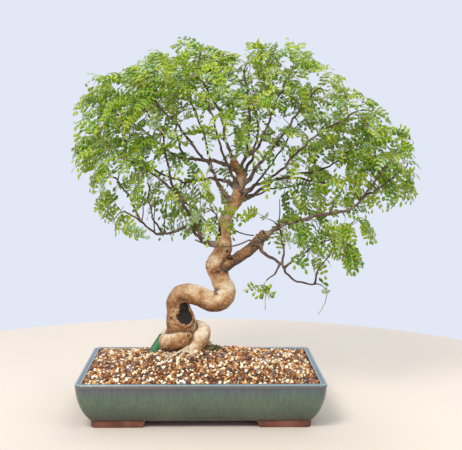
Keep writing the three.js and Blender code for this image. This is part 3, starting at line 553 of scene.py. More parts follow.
# ---------------------------------------------------------------- trunk
# One old living stem and its thick roots: a root coils round the foot, a leg rises, arches over to the
# right, turns up and tapers into the crown. The thick right limb is one wood with it. Smooth pale bark
# with fine wrinkles and warts, dark healed cuts with raised rims, creases where wood presses on wood.
# Its colour carries painted light: tops paler, and undersides, creases, wrinkle troughs and cut hollows
# darker as painted shade.

SOIL_TOP = POT_HEIGHT + 15
STRAND_STEPS = 7
STRAND_SIDES = 28
TRUNK_VOXEL = 0.85
WRINKLE_GAP = 2.9

# Routes through the wood: [x, y, z over the soil, radius], the tone of the bark at start and end.
ROOT_COIL = [
    (-18, 6, -17, 10), (-14, 11, -3, 10.5), (-5, 17, 12, 11.3), (2, 25, 21, 9.8), (-1, 37, 25, 9),
    (-16, 48, 25, 10.5), (-33, 49, 20, 11), (-44, 40, 13, 11), (-46, 28, 9, 11.6), (-41, 15, 10.5, 12),
    (-27, 11.5, 14.5, 11.6), (-17, 17, 16.5, 9.6)]
LEG = [
    (-29, 32, -16, 20), (-27, 31, 4, 19), (-27, 29, 22, 19.5), (-28, 27, 38, 19.5), (-31, 26, 52, 16),
    (-33, 25, 63, 14), (-28, 24, 71, 13.3), (-18, 22, 74.5, 13)]
ARCH = [
    (-33, 25, 60, 13.5), (-28, 24, 71, 13.5), (-19, 22, 74.5, 13), (-8, 20, 73, 13),
    (5, 19, 67.5, 13.3), (17, 19, 64, 13.5), (27, 20, 68, 14), (31, 22, 78, 13.5)]
UPRIGHT = [
    (21, 20, 65, 12), (29, 21, 70, 13.8), (31, 22, 79, 13.5), (26, 24, 89, 13), (22, 25, 99, 12.7),
    (18, 25, 110, 13.5), (22, 24, 122, 11.6), (28, 22, 133, 11.4), (28, 21, 145, 10.8), (29, 20, 158, 8.2),
    (30, 19, 171, 7.6), (35, 19, 183, 7.2), (41, 20, 192, 7.8), (46, 22, 201, 9), (48, 24, 211, 7.5),
    (51, 26, 221, 6.5), (50, 28, 231, 5.8), (44, 28, 242, 5.2), (40, 27, 250, 4.6)]
THICK_LIMB = [
    (19, 23, 104, 9.5), (34, 21, 114, 8), (48, 18, 123, 7.4), (63, 16, 134, 7.2), (74, 14, 145, 7.1),
    (82, 12, 154, 7)]
STRANDS = [
    (ROOT_COIL, 0.86, 0.42), (LEG, 0.42, 0.42), (ARCH, 0.34, 0.68), (UPRIGHT, 0.72, 0.45),
    (THICK_LIMB, 0.2, 0.1),
    ([(-4, 14, -6, 8), (10, 0, -16, 6), (26, -10, -29, 3.5)], 0.6, 0.6),
    ([(-44, 31, 0, 9), (-56, 32, -15, 6.5), (-74, 30, -30, 3.5)], 0.4, 0.4),
    ([(-36, 50, 12, 10), (-44, 62, -7, 7.5), (-56, 72, -29, 3.5)], 0.4, 0.4),
    ([(-2, 36, 10, 9), (14, 44, -9, 7.5), (36, 50, -29, 3.5)], 0.5, 0.5),
]
# Thin pale roots that run over the soil in front before they dive, and one leafless twig behind.
SURFACE_ROOTS = [
    [(-17, 8, 5, 4), (-20, 2, 4, 3.6), (-23, -6, 2.2, 2.4), (-28, -17, -1.5, 1.9), (-33, -28, -9, 1.3)],
    [(-20, 4, 4.5, 2.8), (-27, -3, 3, 1.8), (-34, -11, 0.2, 1.5), (-43, -21, -3.6, 1.2),
     (-48, -32, -11, 0.9)],
    [(-20, -2, 3.6, 2.2), (-14, -10, 1.2, 1.6), (-9, -19, -2.7, 1.3), (-7, -27, -9, 1)],
    [(-29, -5, 2, 1.3), (-38, -10, 0, 1), (-47, -17, -3.4, 0.8), (-54, -26, -9, 0.7)],
]
BARE_TWIG = [
    (31, 20, 165, 1.3), (39, 27, 160, 1.0), (48, 27, 155, 0.9), (59, 24, 152, 0.8), (68, 24, 151, 0.8)]
# Cuts, folds and burrs: centre, radii, how deep the bowl goes (below 0 it swells), how dark it is, and
# how high its rim stands.
CUTS = [
    ((-20, 11, 45), (13.5, 9, 10.5), 3.2, 1.0, 0.8), ((-22, 13, 56), (8, 8, 8), 1.8, 1.0, 0.5),
    ((-8.2, 17, 38), (3, 6, 5), 1.2, 0.8, 0.6),
    ((19.5, 14, 157), (5, 8, 13), 2.0, 1.0, 0.5), ((33, 10.5, 131), (2.4, 3, 2.2), 1.6, 0.9, 0.7),
    ((36, 13, 122), (6.5, 4, 2.2), 2.2, 0.9, 0.4), ((-17, 8, 21), (3.6, 4, 3), 0.8, 0.2, 0.35),
    ((50, 19, 203), (3.4, 5, 3.2), 1.4, 0.6, 0.8), ((82.5, 12, 155), (7, 7, 5), 1.2, 0.85, 0.3),
    ((21, 12, 104), (2.6, 3, 2.2), 0.9, 0.5, 0.5), ((-41, 12, 43), (2.4, 4, 3), 0.7, 0.4, 0.4),
    ((66, 9, 138), (3, 4, 2.4), 0.8, 0.4, 0.6), ((7, 17, 112), (4, 6, 4), -2.2, 0.1, 0),
    ((46, 13, 129), (6, 6, 5), -1.8, 0, 0.2), ((60, 12, 128), (6, 6, 6), -1.4, 0, 0.2),
    ((70, 10, 148), (6, 6, 6), -1.6, 0, 0.3), ((44, 24, 190), (7, 7, 7), -1.6, 0, 0.2),
    ((41, 15, 228), (6, 6, 6), -1.6, 0, 0.3), ((-36, 39, 30), (5, 4, 5), 1.2, 0.5, 0.8),
    ((22, 37, 118), (4, 4, 5), 1.2, 0.6, 0.9),
]


def above_soil(x, y, z):
    """A place in millimetres from the middle of the pot and the top of the soil, in the row frame."""
    return in_pot(x, y, SOIL_TOP + z)


def curve_through(stations, steps):
    """A smooth line, with its thickness, through given stations; steps is the number in each span."""
    p = np.array(stations, float)
    p = np.vstack([2 * p[0] - p[1], p, 2 * p[-1] - p[-2]])
    parts = []
    for a, b, c, d in zip(p, p[1:], p[2:], p[3:]):
        g0, g1, g2 = (max(norm((v - u)[:3]), 1e-6) ** 0.5 for u, v in ((a, b), (b, c), (c, d)))
        leave = ((b - a) / g0 - (c - a) / (g0 + g1) + (c - b) / g1) * g1
        arrive = ((c - b) / g1 - (d - b) / (g1 + g2) + (d - c) / g2) * g1
        t = np.linspace(0, 1, steps, endpoint=False)[:, None]
        parts.append((2 * t ** 3 - 3 * t ** 2 + 1) * b + (t ** 3 - 2 * t ** 2 + t) * leave
                     + (3 * t ** 2 - 2 * t ** 3) * c + (t ** 3 - t ** 2) * arrive)
    return np.vstack(parts + [p[-2][None]])


def round_sweep(line, sides):
    """A closed round skin in millimetres along a line of [x, y, z, radius], with domed ends."""
    middle, radius = line[:, :3], line[:, 3]
    tangent = np.gradient(middle, axis=0)
    tangent /= norm(tangent, axis=1)[:, None]
    across = np.cross([0, 0, 1] if abs(tangent[0][2]) < 0.9 else [1, 0, 0], tangent[0])
    rows = []
    angles = np.arange(sides) * 2 * math.pi / sides
    domes = [(-0.85, 0.35), (-0.5, 0.8)]
    plan = [(0, s, r) for s, r in domes] + [(i, 0, 1) for i in range(len(line))]
    plan += [(len(line) - 1, -s, r) for s, r in reversed(domes)]
    for i, slide, scale in plan:
        across = across - tangent[i] * (across @ tangent[i])
        across /= norm(across)
        side = np.cross(tangent[i], across)
        ring = np.cos(angles)[:, None] * across + np.sin(angles)[:, None] * side
        rows.append(middle[i] + tangent[i] * slide * 0.6 * radius[i] + ring * radius[i] * scale)
    return np.vstack(rows), loft(len(rows), sides)


points, faces, spine = [], [], []
for stations, first_tone, last_tone in STRANDS:
    line = curve_through(stations, STRAND_STEPS)
    sway = np.array([noise.noise(Vector(spot[:3]) / 14) for spot in line])
    line[:, 3] *= 1 + 0.035 * sway
    run = np.r_[0, np.cumsum(norm(np.diff(line[:, :3], axis=0), axis=1))]
    for spot, along in zip(line, run):
        share = along / run[-1]
        spine.append((spot, first_tone + (last_tone - first_tone) * share, along))
    skin, skin_faces = round_sweep(line, STRAND_SIDES)
    faces += [tuple(len(points) + i for i in face) for face in skin_faces]
    points += list(skin)
trunk = new_piece("trunk_wood", [above_soil(*p) for p in points], faces)
weld = trunk.modifiers.new("weld", "REMESH")
weld.mode, weld.voxel_size, weld.use_smooth_shade = "VOXEL", TRUNK_VOXEL * MM, True
bake_modifiers(trunk)

mesh = trunk.data
edges = np.empty(len(mesh.edges) * 2, np.int32)
mesh.edges.foreach_get("vertices", edges)
edges = edges.reshape(-1, 2)
degree = np.maximum(np.bincount(edges.ravel(), minlength=len(mesh.vertices)), 1)


def relaxed(values, rounds, share=0.5):
    """Values of the skin's points, each drawn towards the mean of its neighbours."""
    for _ in range(rounds):
        total = np.zeros_like(values)
        np.add.at(total, edges[:, 0], values[edges[:, 1]])
        np.add.at(total, edges[:, 1], values[edges[:, 0]])
        mean = total / (degree[:, None] if values.ndim > 1 else degree)
        values = values + (mean - values) * share
    return values


def skin_normals():
    mesh.update()
    found = np.empty(len(mesh.vertices) * 3, np.float32)
    mesh.vertex_normals.foreach_get("vector", found)
    return found.reshape(-1, 3).astype(float)


def set_skin(places):
    mesh.vertices.foreach_set("co", places.astype(np.float32).ravel())


skin = np.empty(len(mesh.vertices) * 3, np.float32)
mesh.vertices.foreach_get("co", skin)
skin = relaxed(skin.reshape(-1, 3).astype(float), 5)
set_skin(skin)
outward = skin_normals()
tree_mm = (skin - np.array(above_soil(0, 0, 0))) / MM

# how dark each cut is at each point, and how far its rim of callus stands out
scar, rim = np.zeros(len(skin)), np.zeros(len(skin))
ragged = np.array([noise.noise(Vector(p) / 3.2) for p in tree_mm])
for centre, radii, depth, dark, rim_height in CUTS:
    far = norm((tree_mm - centre) / radii, axis=1)
    far += (0.12 + 0.5 / min(radii)) * ragged
    reach = far < 1.9
    if not (far < 1).any():
        continue
    inward = -outward[far < 1].mean(0)
    inward /= norm(inward)
    bowl = np.clip(1 - far ** 2, 0, 1) ** 0.6
    lip = np.exp(-((far - 1.14) / 0.17) ** 2) * reach
    skin += (bowl * depth * MM)[:, None] * inward + (lip * rim_height * MM)[:, None] * outward
    scar = np.maximum(scar, dark * np.clip((1.02 - far) / 0.12, 0, 1))
    rim = np.maximum(rim, lip * min(dark + 0.2, 1))

# nearest place on the routes gives the tone of the bark and where the wrinkles run
near = kdtree.KDTree(len(spine))
for number, (spot, _, _) in enumerate(spine):
    near.insert(spot[:3], number)
near.balance()
tone, run = np.zeros(len(skin)), np.zeros(len(skin))
for number, place in enumerate(tree_mm):
    found = sorted(near.find_n(place, 2), key=lambda hit: hit[2] - spine[hit[1]][0][3])[0][1]
    tone[number], run[number] = spine[found][1:]
tone = relaxed(tone, 30)
hollow = relaxed(skin, 6) - skin
fold = relaxed(np.clip((hollow * outward).sum(1) / (0.05 * MM), -1, 1), 4)

lumps, grain, warts, wrinkle = (np.zeros(len(skin)) for _ in range(4))
for number, place in enumerate(tree_mm):
    p = Vector(place)
    lumps[number] = 0.85 * noise.noise(p / 13) + 0.42 * noise.noise(p / 5.5 + Vector((9, 0, 0)))
    grain[number] = noise.fractal(p / 2.6, 0.8, 2.1, 3)
    reach, centres = noise.voronoi(p / 4.6)
    if noise.noise(centres[0] * 7.7) > 0.12:
        warts[number] = max(0, 1 - reach[0] / 0.2)
    drift = noise.noise(p / 6) * 2.2
    strength = max(0, noise.noise(p / 11 + Vector((0, 30, 0))) + 0.25)
    wrinkle[number] = strength * math.sin((run[number] + drift) * 2 * math.pi / WRINKLE_GAP)
pressed = np.clip(fold + 0.25, 0, 1)
move = lumps + 0.11 * grain + 0.4 * warts + (0.16 + 0.34 * pressed) * wrinkle - 0.5 * np.clip(fold, 0, 1)
move = np.where(scar > 0.3, 0.35 * lumps + 0.3 * grain, move)
skin += (move * MM)[:, None] * outward
set_skin(skin)
mesh.update()
for label, values in (("scar", scar), ("rim", rim), ("tone", tone), ("fold", fold),
                      ("wart", np.maximum(warts, 0) * (scar < 0.3)), ("wrinkle", wrinkle * (scar < 0.3))):
    store(mesh, label, values)

# Smooth living bark: dull and dry, pale cream where it is polished and old, orange-brown where it is
# young, with pores of about 0.7 mm; cut wood has weathered dark and is cracked. Painted light and shade:
# upward faces paler as painted light from above, downward faces darker and more orange as painted shade,
# creases and wrinkle troughs darker, and cut hollows near black as painted shade.
bark, tree, shader, where = new_material("smooth_living_bark", IOR=1.45)
attribute = {label: add_node(tree, "Attribute", {"attribute_name": label}).outputs["Fac"]
             for label in ("scar", "rim", "tone", "fold", "wart", "wrinkle")}
cloud = add_node(tree, "TexNoise", links={
    "Vector": where, "Scale": 62.0, "Detail": 5.0, "Roughness": 0.62})
fine = add_node(tree, "TexNoise", links={
    "Vector": where, "Scale": 520.0, "Detail": 5.0, "Roughness": 0.65})
normal = add_node(tree, "NewGeometry").outputs["Normal"]
facing = add_node(tree, "SeparateXYZ", links={0: normal}).outputs["Z"]
# Upward faces are painted paler and downward faces darker: painted light from above and painted shade
# beneath, added to the bark's own tone.
tone_and_painted_top_light = add_node(tree, "Math", {"operation": "MULTIPLY_ADD"}, {0: facing, 1: 0.36, 2: attribute["tone"]})
stirred = add_node(tree, "Math", {"operation": "MULTIPLY_ADD"}, {0: cloud, 1: 1.7, 2: tone_and_painted_top_light})
mixed = add_node(tree, "Math", {"operation": "MULTIPLY_ADD"}, {0: fine, 1: 0.55, 2: stirred})
placed = add_node(tree, "Math", {"operation": "SUBTRACT"}, {0: mixed, 1: 1.13})
bark_shades_and_painted_light = add_node(tree, "ValToRGB", {"stops": [
    (0.0, "#4f3f32"), (0.12, "#6a4728"), (0.3, "#87592f"), (0.5, "#a87a4b"), (0.72, "#c6a57c"),
    (0.97, "#ddccaf")]},
    {"Fac": placed})
# Creases, where wood presses on wood, are painted dark brown as shade.
deep = add_node(tree, "MapRange", links={
    "Value": attribute["fold"], "From Min": 0.05, "From Max": 0.8, "To Max": 0.85})
# Wrinkle troughs are painted darker as shade.
painted_wrinkle_shade = add_node(tree, "MapRange", links={
    "Value": attribute["wrinkle"], "From Min": -0.15, "From Max": -0.9, "To Max": 0.5})
pores = add_node(tree, "TexVoronoi", links={"Vector": where, "Scale": 420.0})
pore_at = add_node(tree, "MapRange", links={
    "Value": pores, "From Min": 0.09, "From Max": 0.23, "To Min": 0.7, "To Max": 0.0})
fleck_at = add_node(tree, "MapRange", links={
    "Value": fine, "From Min": 0.56, "From Max": 0.66, "To Max": 0.42})
callus_at = add_node(tree, "Math", {"operation": "MULTIPLY"}, {0: attribute["rim"], 1: 0.3})
# Cut hollows are painted near black: dark weathered wood with painted shade in the hollow.
dark_wood_and_hollow_shade = add_node(tree, "ValToRGB", {"stops": [(0.3, "#0d0805"), (0.72, "#2b1c11")]},
                   {"Fac": fine})
skin_colour = layered(
    tree, bark_shades_and_painted_light, (deep, "#56371f"), (painted_wrinkle_shade, "#6d4526"), (pore_at, "#5d3d22"), (fleck_at, "#decdb4"),
    (attribute["wart"], "#6a4a30"), (callus_at, "#8a5c38"), (attribute["scar"], dark_wood_and_hollow_shade))
dry = add_node(tree, "MapRange", links={"Value": fine, "To Min": 0.62, "To Max": 0.82})
texture = add_node(tree, "Math", {"operation": "MULTIPLY_ADD"}, {0: pore_at, 1: -0.6, 2: fine})
bumped = add_node(tree, "Bump", links={"Strength": 0.55, "Distance": 0.4 * MM, "Height": texture})
feed(shader, {"Base Color": skin_colour, "Roughness": dry, "Normal": bumped})
mesh.materials.append(bark)
hand_over(trunk, "trunk", "trunk", "limb_right_thick")

# ---------------------------------------------------------------- limbs, surface roots and bare twigs
# Limbs are grown wood: each leaves the trunk from a swollen collar and thins at every fork. The bark is
# thinner and darker than the trunk's and is ringed by old leaf scars. A few bleached roots cross the soil.

LIMB_STEPS = 9
SCAR_GAP = 12.5
# Each limb's routes, as (radius at its start, at its tip, points); later routes fork from earlier ones.
LIMBS = {
    "right_far": [
        (4.2, 1.5, [(76, 13, 149), (98, 8, 164), (132, 0, 175), (163, -8, 182), (185, -14, 186),
                    (200, -19, 202), (221, -26, 230), (237, -30, 251)]),
        (2, 1.2, [(163, -8, 182), (169, -4, 198), (178, 0, 211), (185, 4, 227)]),
        (2, 1.2, [(200, -19, 202), (229, -18, 220), (262, -10, 246)])],
    "right_low": [
        (3.4, 1.3, [(73, 13, 144), (79, 9, 132), (101, 4, 117), (108, 2, 102), (136, -4, 92), (147, -6, 91)]),
        (1.8, 1.2, [(101, 4, 117), (94, 0, 105), (85, -6, 93)]),
        (2, 1.2, [(103, 4, 114), (107, 10, 132), (104, 14, 149), (99, 18, 164)]),
        (1.6, 1.1, [(145, -6, 91), (149, -8, 112), (162, -12, 126)]),
        (2, 1.2, [(105, 4, 110), (131, 0, 131), (166, -8, 151)])],
    "left_main": [
        (4.2, 1.5, [(22, 20, 138), (4, 14, 144), (-6, 6, 158), (-24, -12, 196), (-34, -20, 210),
                    (-70, -38, 238), (-107, -48, 262)]),
        (2.6, 1.3, [(-26, -14, 200), (-40, -24, 225), (-42, -31, 250), (-55, -30, 289), (-78, -28, 318)]),
        (1.5, 1.1, [(6, 14, 144), (15, 7, 162), (18, 2, 178), (8, -2, 190)])],
    "left_low": [
        (3.2, 1.4, [(6, 16, 144), (-6, 8, 151), (-18, 3, 161), (-37, -4, 158), (-58, -12, 157),
                    (-78, -20, 174), (-95, -26, 186)]),
        (1.6, 1.2, [(-50, -9, 156), (-61, -6, 171), (-66, -4, 192), (-69, -2, 222)]),
        (1.8, 1.2, [(-78, -20, 174), (-86, -22, 196), (-104, -28, 220), (-128, -34, 246)])],
    "left_mid": [
        (3.6, 1.4, [(48, 25, 211), (31, 30, 221), (14, 34, 226), (2, 38, 224), (-12, 43, 219),
                    (-39, 55, 224), (-80, 70, 244), (-109, 78, 266)])],
    "left_upper": [
        (4, 1.4, [(42, 20, 194), (24, 6, 214), (12, -10, 240), (-5, -22, 258), (-30, -38, 294),
                  (-62, -46, 326)]),
        (2, 1.2, [(12, -10, 240), (6, -20, 266), (-4, -30, 302), (-20, -38, 330)])],
    "left_back": [
        (3.8, 1.4, [(47, 28, 236), (15, 42, 248), (-22, 60, 249), (-44, 70, 260), (-93, 84, 296),
                    (-122, 88, 314)]),
        (2.4, 1.3, [(-22, 60, 249), (-34, 76, 280), (-36, 92, 322)])],
    "top_left": [(3.6, 1.3, [(43, 28, 243), (35, 31, 262), (26, 34, 301), (4, 36, 344), (-14, 34, 366)])],
    "top_centre": [
        (3.6, 1.3, [(50, 28, 228), (53, 24, 244), (59, 16, 265), (60, 8, 304), (56, 6, 340), (53, 8, 368)])],
    "top_right": [(3.2, 1.3, [(55, 24, 254), (70, 22, 266), (84, 24, 291), (99, 22, 330), (112, 20, 358)])],
    "top_front": [(3.6, 1.3, [(47, 20, 214), (39, 3, 229), (29, -22, 252), (17, -50, 288), (8, -66, 316)])],
    "top_back": [(3.6, 1.3, [(51, 30, 222), (62, 54, 242), (73, 82, 276), (74, 106, 314), (68, 118, 338)])],
    "right_upper": [
        (3.8, 1.4, [(50, 26, 216), (70, 14, 240), (88, 10, 264), (107, 6, 289), (126, 4, 320),
                    (147, 4, 342)])],
    "right_mid": [
        (3.6, 1.4, [(47, 20, 206), (64, 10, 216), (83, 4, 222), (104, -4, 241), (137, -14, 276),
                    (190, -18, 310)])],
    "right_long": [
        (3.8, 1.4, [(45, 21, 197), (62, 26, 203), (81, 32, 215), (108, 38, 227), (159, 44, 239),
                    (196, 48, 261)]),
        (2.2, 1.2, [(108, 38, 227), (130, 44, 226), (177, 52, 218), (203, 56, 227), (226, 60, 240)])],
    "right_back": [
        (3.6, 1.4, [(28, 22, 164), (40, 42, 180), (58, 62, 200), (94, 90, 240), (124, 98, 290)]),
        (2, 1.2, [(58, 62, 200), (96, 84, 208), (138, 96, 214)])],
    "back_low": [(3.2, 1.4, [(26, 24, 145), (16, 46, 154), (4, 66, 168), (-24, 92, 190)])],
}

# A skin round lines of points that carry their own thickness, roughened so that no stem is a plain tube.
stem_tree, given, out = new_tree("stem_skin", Sides="Int", Rough="Float", Knot="Float", Finish="Material")
lines = add_node(stem_tree, "GeometryNodeMeshToCurve", links={"Mesh": given["Geometry"]})
ring = add_node(stem_tree, "GeometryNodeCurvePrimitiveCircle", links={
    "Resolution": given["Sides"], "Radius": 1.0})
thick = add_node(stem_tree, "GeometryNodeInputNamedAttribute", links={"Name": "thickness"})
tube = add_node(stem_tree, "GeometryNodeCurveToMesh", links={
    "Curve": lines, "Profile Curve": ring, "Scale": thick, "Fill Caps": True})
place = add_node(stem_tree, "GeometryNodeInputPosition")
waver = add_node(stem_tree, "TexNoise", links={
    "Vector": place, "Scale": given["Knot"], "Detail": 2.0})
centred = add_node(stem_tree, "Math", {"operation": "SUBTRACT"}, {0: waver, 1: 0.5})
thick_here = add_node(stem_tree, "Math", {"operation": "MULTIPLY"}, {0: thick, 1: given["Rough"]})
reach = add_node(stem_tree, "Math", {"operation": "MULTIPLY"}, {0: centred, 1: thick_here})
normal = add_node(stem_tree, "GeometryNodeInputNormal")
push = add_node(stem_tree, "VectorMath", {"operation": "SCALE"}, {0: normal, "Scale": reach})
rough_skin = add_node(stem_tree, "GeometryNodeSetPosition", links={"Geometry": tube, "Offset": push})
finish_tree(stem_tree, given, out, rough_skin, True)


def stems(name, lines, sides, rough, knot, finish):
    """Grows the stem skin round lines of [x, y, z, radius] in millimetres from the soil's top; rough is a
    share of the thickness, and a higher knot sets its bumps closer."""
    points, links, thickness = [], [], []
    for line in lines:
        base = len(points)
        points += [above_soil(*spot[:3]) for spot in line]
        links += [(base + i, base + i + 1) for i in range(len(line) - 1)]
        thickness += [spot[3] * MM for spot in line]
    piece = new_piece(name, [], [])
    piece.data.from_pydata(points, links, [])
    store(piece.data, "thickness", thickness)
    return grow(piece, stem_tree, Sides=sides, Rough=float(rough), Knot=float(knot), Finish=finish)


# Thin bark on young wood: dark brown and dull, paler and greyer on thick stems, with a fine crackle about
# 1.5 mm across.
twig_bark, tree, shader, where = new_material("thin_limb_bark", IOR=1.45, Roughness=0.78)
patch = add_node(tree, "TexNoise", links={"Vector": where, "Scale": 110.0, "Detail": 5.0})
fine = add_node(tree, "TexNoise", links={"Vector": where, "Scale": 700.0, "Detail": 4.0})
thickness = add_node(tree, "Attribute", {"attribute_name": "thickness"}).outputs["Fac"]
old = add_node(tree, "MapRange", links={
    "Value": thickness, "From Min": 1.3 * MM, "From Max": 4 * MM, "To Max": 0.24})
aged = add_node(tree, "Math", links={0: patch, 1: old})
both = add_node(tree, "Math", {"operation": "MULTIPLY_ADD"}, {0: fine, 1: 0.4, 2: aged})
shade = add_node(tree, "ValToRGB", {"stops": [
    (0.42, "#251a13"), (0.62, "#402e23"), (0.8, "#644e3e"), (0.97, "#948270")]}, {"Fac": both})
bumped = add_node(tree, "Bump", links={"Strength": 0.7, "Distance": 0.35 * MM, "Height": fine})
feed(shader, {"Base Color": shade, "Normal": bumped})

# every limb's points are kept, for the shoots to grow from: place, direction, radius
wood = []
for limb, routes in LIMBS.items():
    lines = []
    for number, (first, last, route) in enumerate(routes):
        line = curve_through([(*spot, 0) for spot in route], LIMB_STEPS)
        share = np.linspace(0, 1, len(line)) ** 0.55
        line[:, 3] = 0.86 * first + (0.7 * last - 0.86 * first) * share
        run = np.r_[0, np.cumsum(norm(np.diff(line[:, :3], axis=0), axis=1))]
        if number == 0:
            line[:, 3] *= 1 + 0.45 * np.exp(-((run - 6) / 8) ** 2) * (first > 3)
        else:
            line[:, 3] *= 1 + 0.35 * np.exp(-run / 4)
        # old leaf scars swell the stem every dozen millimetres, and it turns a little at each
        line[:, 3] *= 1 + 0.13 * np.maximum(0, np.cos(run * 2 * math.pi / SCAR_GAP)) ** 6
        for i, spot in enumerate(line):
            drift = np.zeros(3)
            for wave, reach in ((17, 3.4), (7, 1.6)):
                sway = Vector(spot[:3]) / wave
                drift += [reach * noise.noise(sway + Vector((50 * axis, 0, 0))) for axis in range(3)]
            line[i, :3] += drift * min(1, run[i] / 14)
        lines.append(line)
        heading = np.gradient(line[:, :3], axis=0)
        heading /= norm(heading, axis=1)[:, None]
        wood += [(spot[:3], way, spot[3]) for spot, way, r in zip(line, heading, run) if r > 22 or number]
    piece = stems(f"{limb}_wood", lines, 9, 0.75, 260, twig_bark)
    hand_over(piece, "limbs", "limb_" + limb)

# Roots in the open are bleached and papery.
root_bark = mottled("bleached_root_bark", 420.0, 5.0, [(0.3, "#a98b6c"), (0.6, "#dac8ac")], 0.6, 0.3,
                    IOR=1.45, Roughness=0.8)
surface_roots = stems("surface_roots", [curve_through(route, 7) for route in SURFACE_ROOTS], 10, 0.8, 300,
                      root_bark)
hand_over(surface_roots, "trunk", "trunk")
bare_twig = stems("bare_twig", [curve_through(BARE_TWIG, 8)], 8, 0.8, 300, twig_bark)
hand_over(bare_twig, "limbs", "trunk")

# ---------------------------------------------------------------- shoots, leaf stalks and leaflets
# This year's green shoots stand on dark twigs at the limbs' ends and carry alternate feathered leaves: a
# thin arching stalk with one to six pairs of small blunt leaflets and one at its tip. About fifteen hundred
# leaves.

LEAFLET_LENGTH = 7
LEAFLET_ANGLE = 72                   # between a leaflet and its stalk, in degrees
LOST_LEAFLETS = 0.03
PAIR_GAP = 5.2
LEAF_GAP = 11.5
SHOOT_GAP = {"left": 19, "top": 18, "right": 24, "low": 24}
INNER_SHOOTS = 105
INNER_SPAN = {"left": (-200, 0), "top": (0, 115), "right": (115, 400), "low": (0, 0)}
# How long the leaves are: on sprays, on their inner shoots, between sprays, in the heart, on the droops.
SPRAY_LEAF, INNER_LEAF, BETWEEN_LEAF, HEART_LEAF, DROOP_LEAF = 33, 24, 28, 26, 19
CROWN_SEED = 41
CROWN = {
    "left": ("left_low", "left_tip", "left_mid", "left_fork", "left_mid_back", "left_back", "left_high",
             "inner_left", "back_low", "back_left"),
    "top": ("top_front_left", "top_left", "top_centre", "top_right", "top_front", "top_back"),
    "right": ("right_upper", "right_back", "right_mid", "right_long", "right_long_low", "right_back_low"),
    "low": ("far_tip", "far_low", "far_mid", "low_inner", "low_mid", "low_outer", "droop_left",
            "droop_right"),
}
# The crown's outline from the front: [x, z over the soil] on the stem's own plane.
CROWN_OUTLINE = [
    (-171, 236), (-168, 262), (-164, 290), (-166, 310), (-157, 328), (-152, 346), (-147, 361), (-126, 369),
    (-98, 383), (-85, 374), (-67, 402), (-42, 410), (-14, 405), (7, 393), (20, 383), (39, 398), (54, 415),
    (76, 409), (121, 409), (143, 391), (151, 376), (171, 369), (191, 351), (201, 338), (226, 332), (232, 309),
    (251, 297), (273, 290), (285, 253), (292, 221), (279, 199), (267, 188), (246, 181), (228, 169),
    (230, 138), (210, 103), (169, 85), (144, 65), (124, 79), (79, 67), (53, 74), (63, 95), (79, 116),
    (56, 145), (17, 132),
    (-13, 124), (-35, 145), (-81, 145), (-120, 153), (-140, 179), (-138, 197), (-158, 218)]
VIEW_POINT = np.array([4, -1179, 268.0])
# Leafless dark shoots that stand up from the low left limb.
BARE_SHOOTS = [
    [(-60, -10, 158, 0.9), (-61, -9, 172, 0.8), (-60, -8, 190, 0.6), (-60, -7, 204, 0.45)],
    [(-47, -8, 157, 0.8), (-48, -7, 168, 0.7), (-47, -6, 184, 0.5), (-45, -6, 196, 0.4)],
    [(-76, -18, 172, 0.9), (-74, -18, 184, 0.7), (-75, -17, 200, 0.5)],
    [(98, 4, 166, 0.9), (100, 2, 182, 0.7), (99, 0, 200, 0.5)],
]

soil_zero = np.array(above_soil(0, 0, 0))
CROWN_LOW = (np.array(cad_box[0]) - soil_zero) / MM - 6
CROWN_HIGH = (np.array(cad_box[1]) - soil_zero) / MM + 12
CROWN_HEART = np.array([40, 20, 215.0])
draw = random.Random(CROWN_SEED)
UP = np.array([0, 0, 1.0])


def unit(v):
    return v / max(norm(v), 1e-9)


def scatter(amount):
    return np.array([draw.gauss(0, amount) for _ in range(3)])


def in_crown(spot):
    """Whether a place lies inside the crown's outline, seen from the front at a normal viewing distance."""
    if (spot < CROWN_LOW).any() or (spot > CROWN_HIGH).any():
        return False
    x, _, z = VIEW_POINT + (spot - VIEW_POINT) * (20 - VIEW_POINT[1]) / (spot[1] - VIEW_POINT[1])
    inside = False
    for (xa, za), (xb, zb) in zip(CROWN_OUTLINE, CROWN_OUTLINE[1:] + CROWN_OUTLINE[:1]):
        if (za > z) != (zb > z) and x < xa + (xb - xa) * (z - za) / (zb - za):
            inside = not inside
    return inside


def leaf_stalk(start, heading, length, droop):
    """Points along an arching leaf stalk, and its direction at each."""
    steps = max(int(length / PAIR_GAP), 2)
    places, ways, spot, way = [start], [heading], start, heading
    for step in range(steps):
        way = unit(way - UP * droop * (0.5 + 1.4 * step / steps) * 3 / steps + scatter(0.03))
        spot = spot + way * length / steps
        places.append(spot)
        ways.append(way)
    return places, ways


shoots, stalks, blades = ({part: [] for part in CROWN} for _ in range(3))


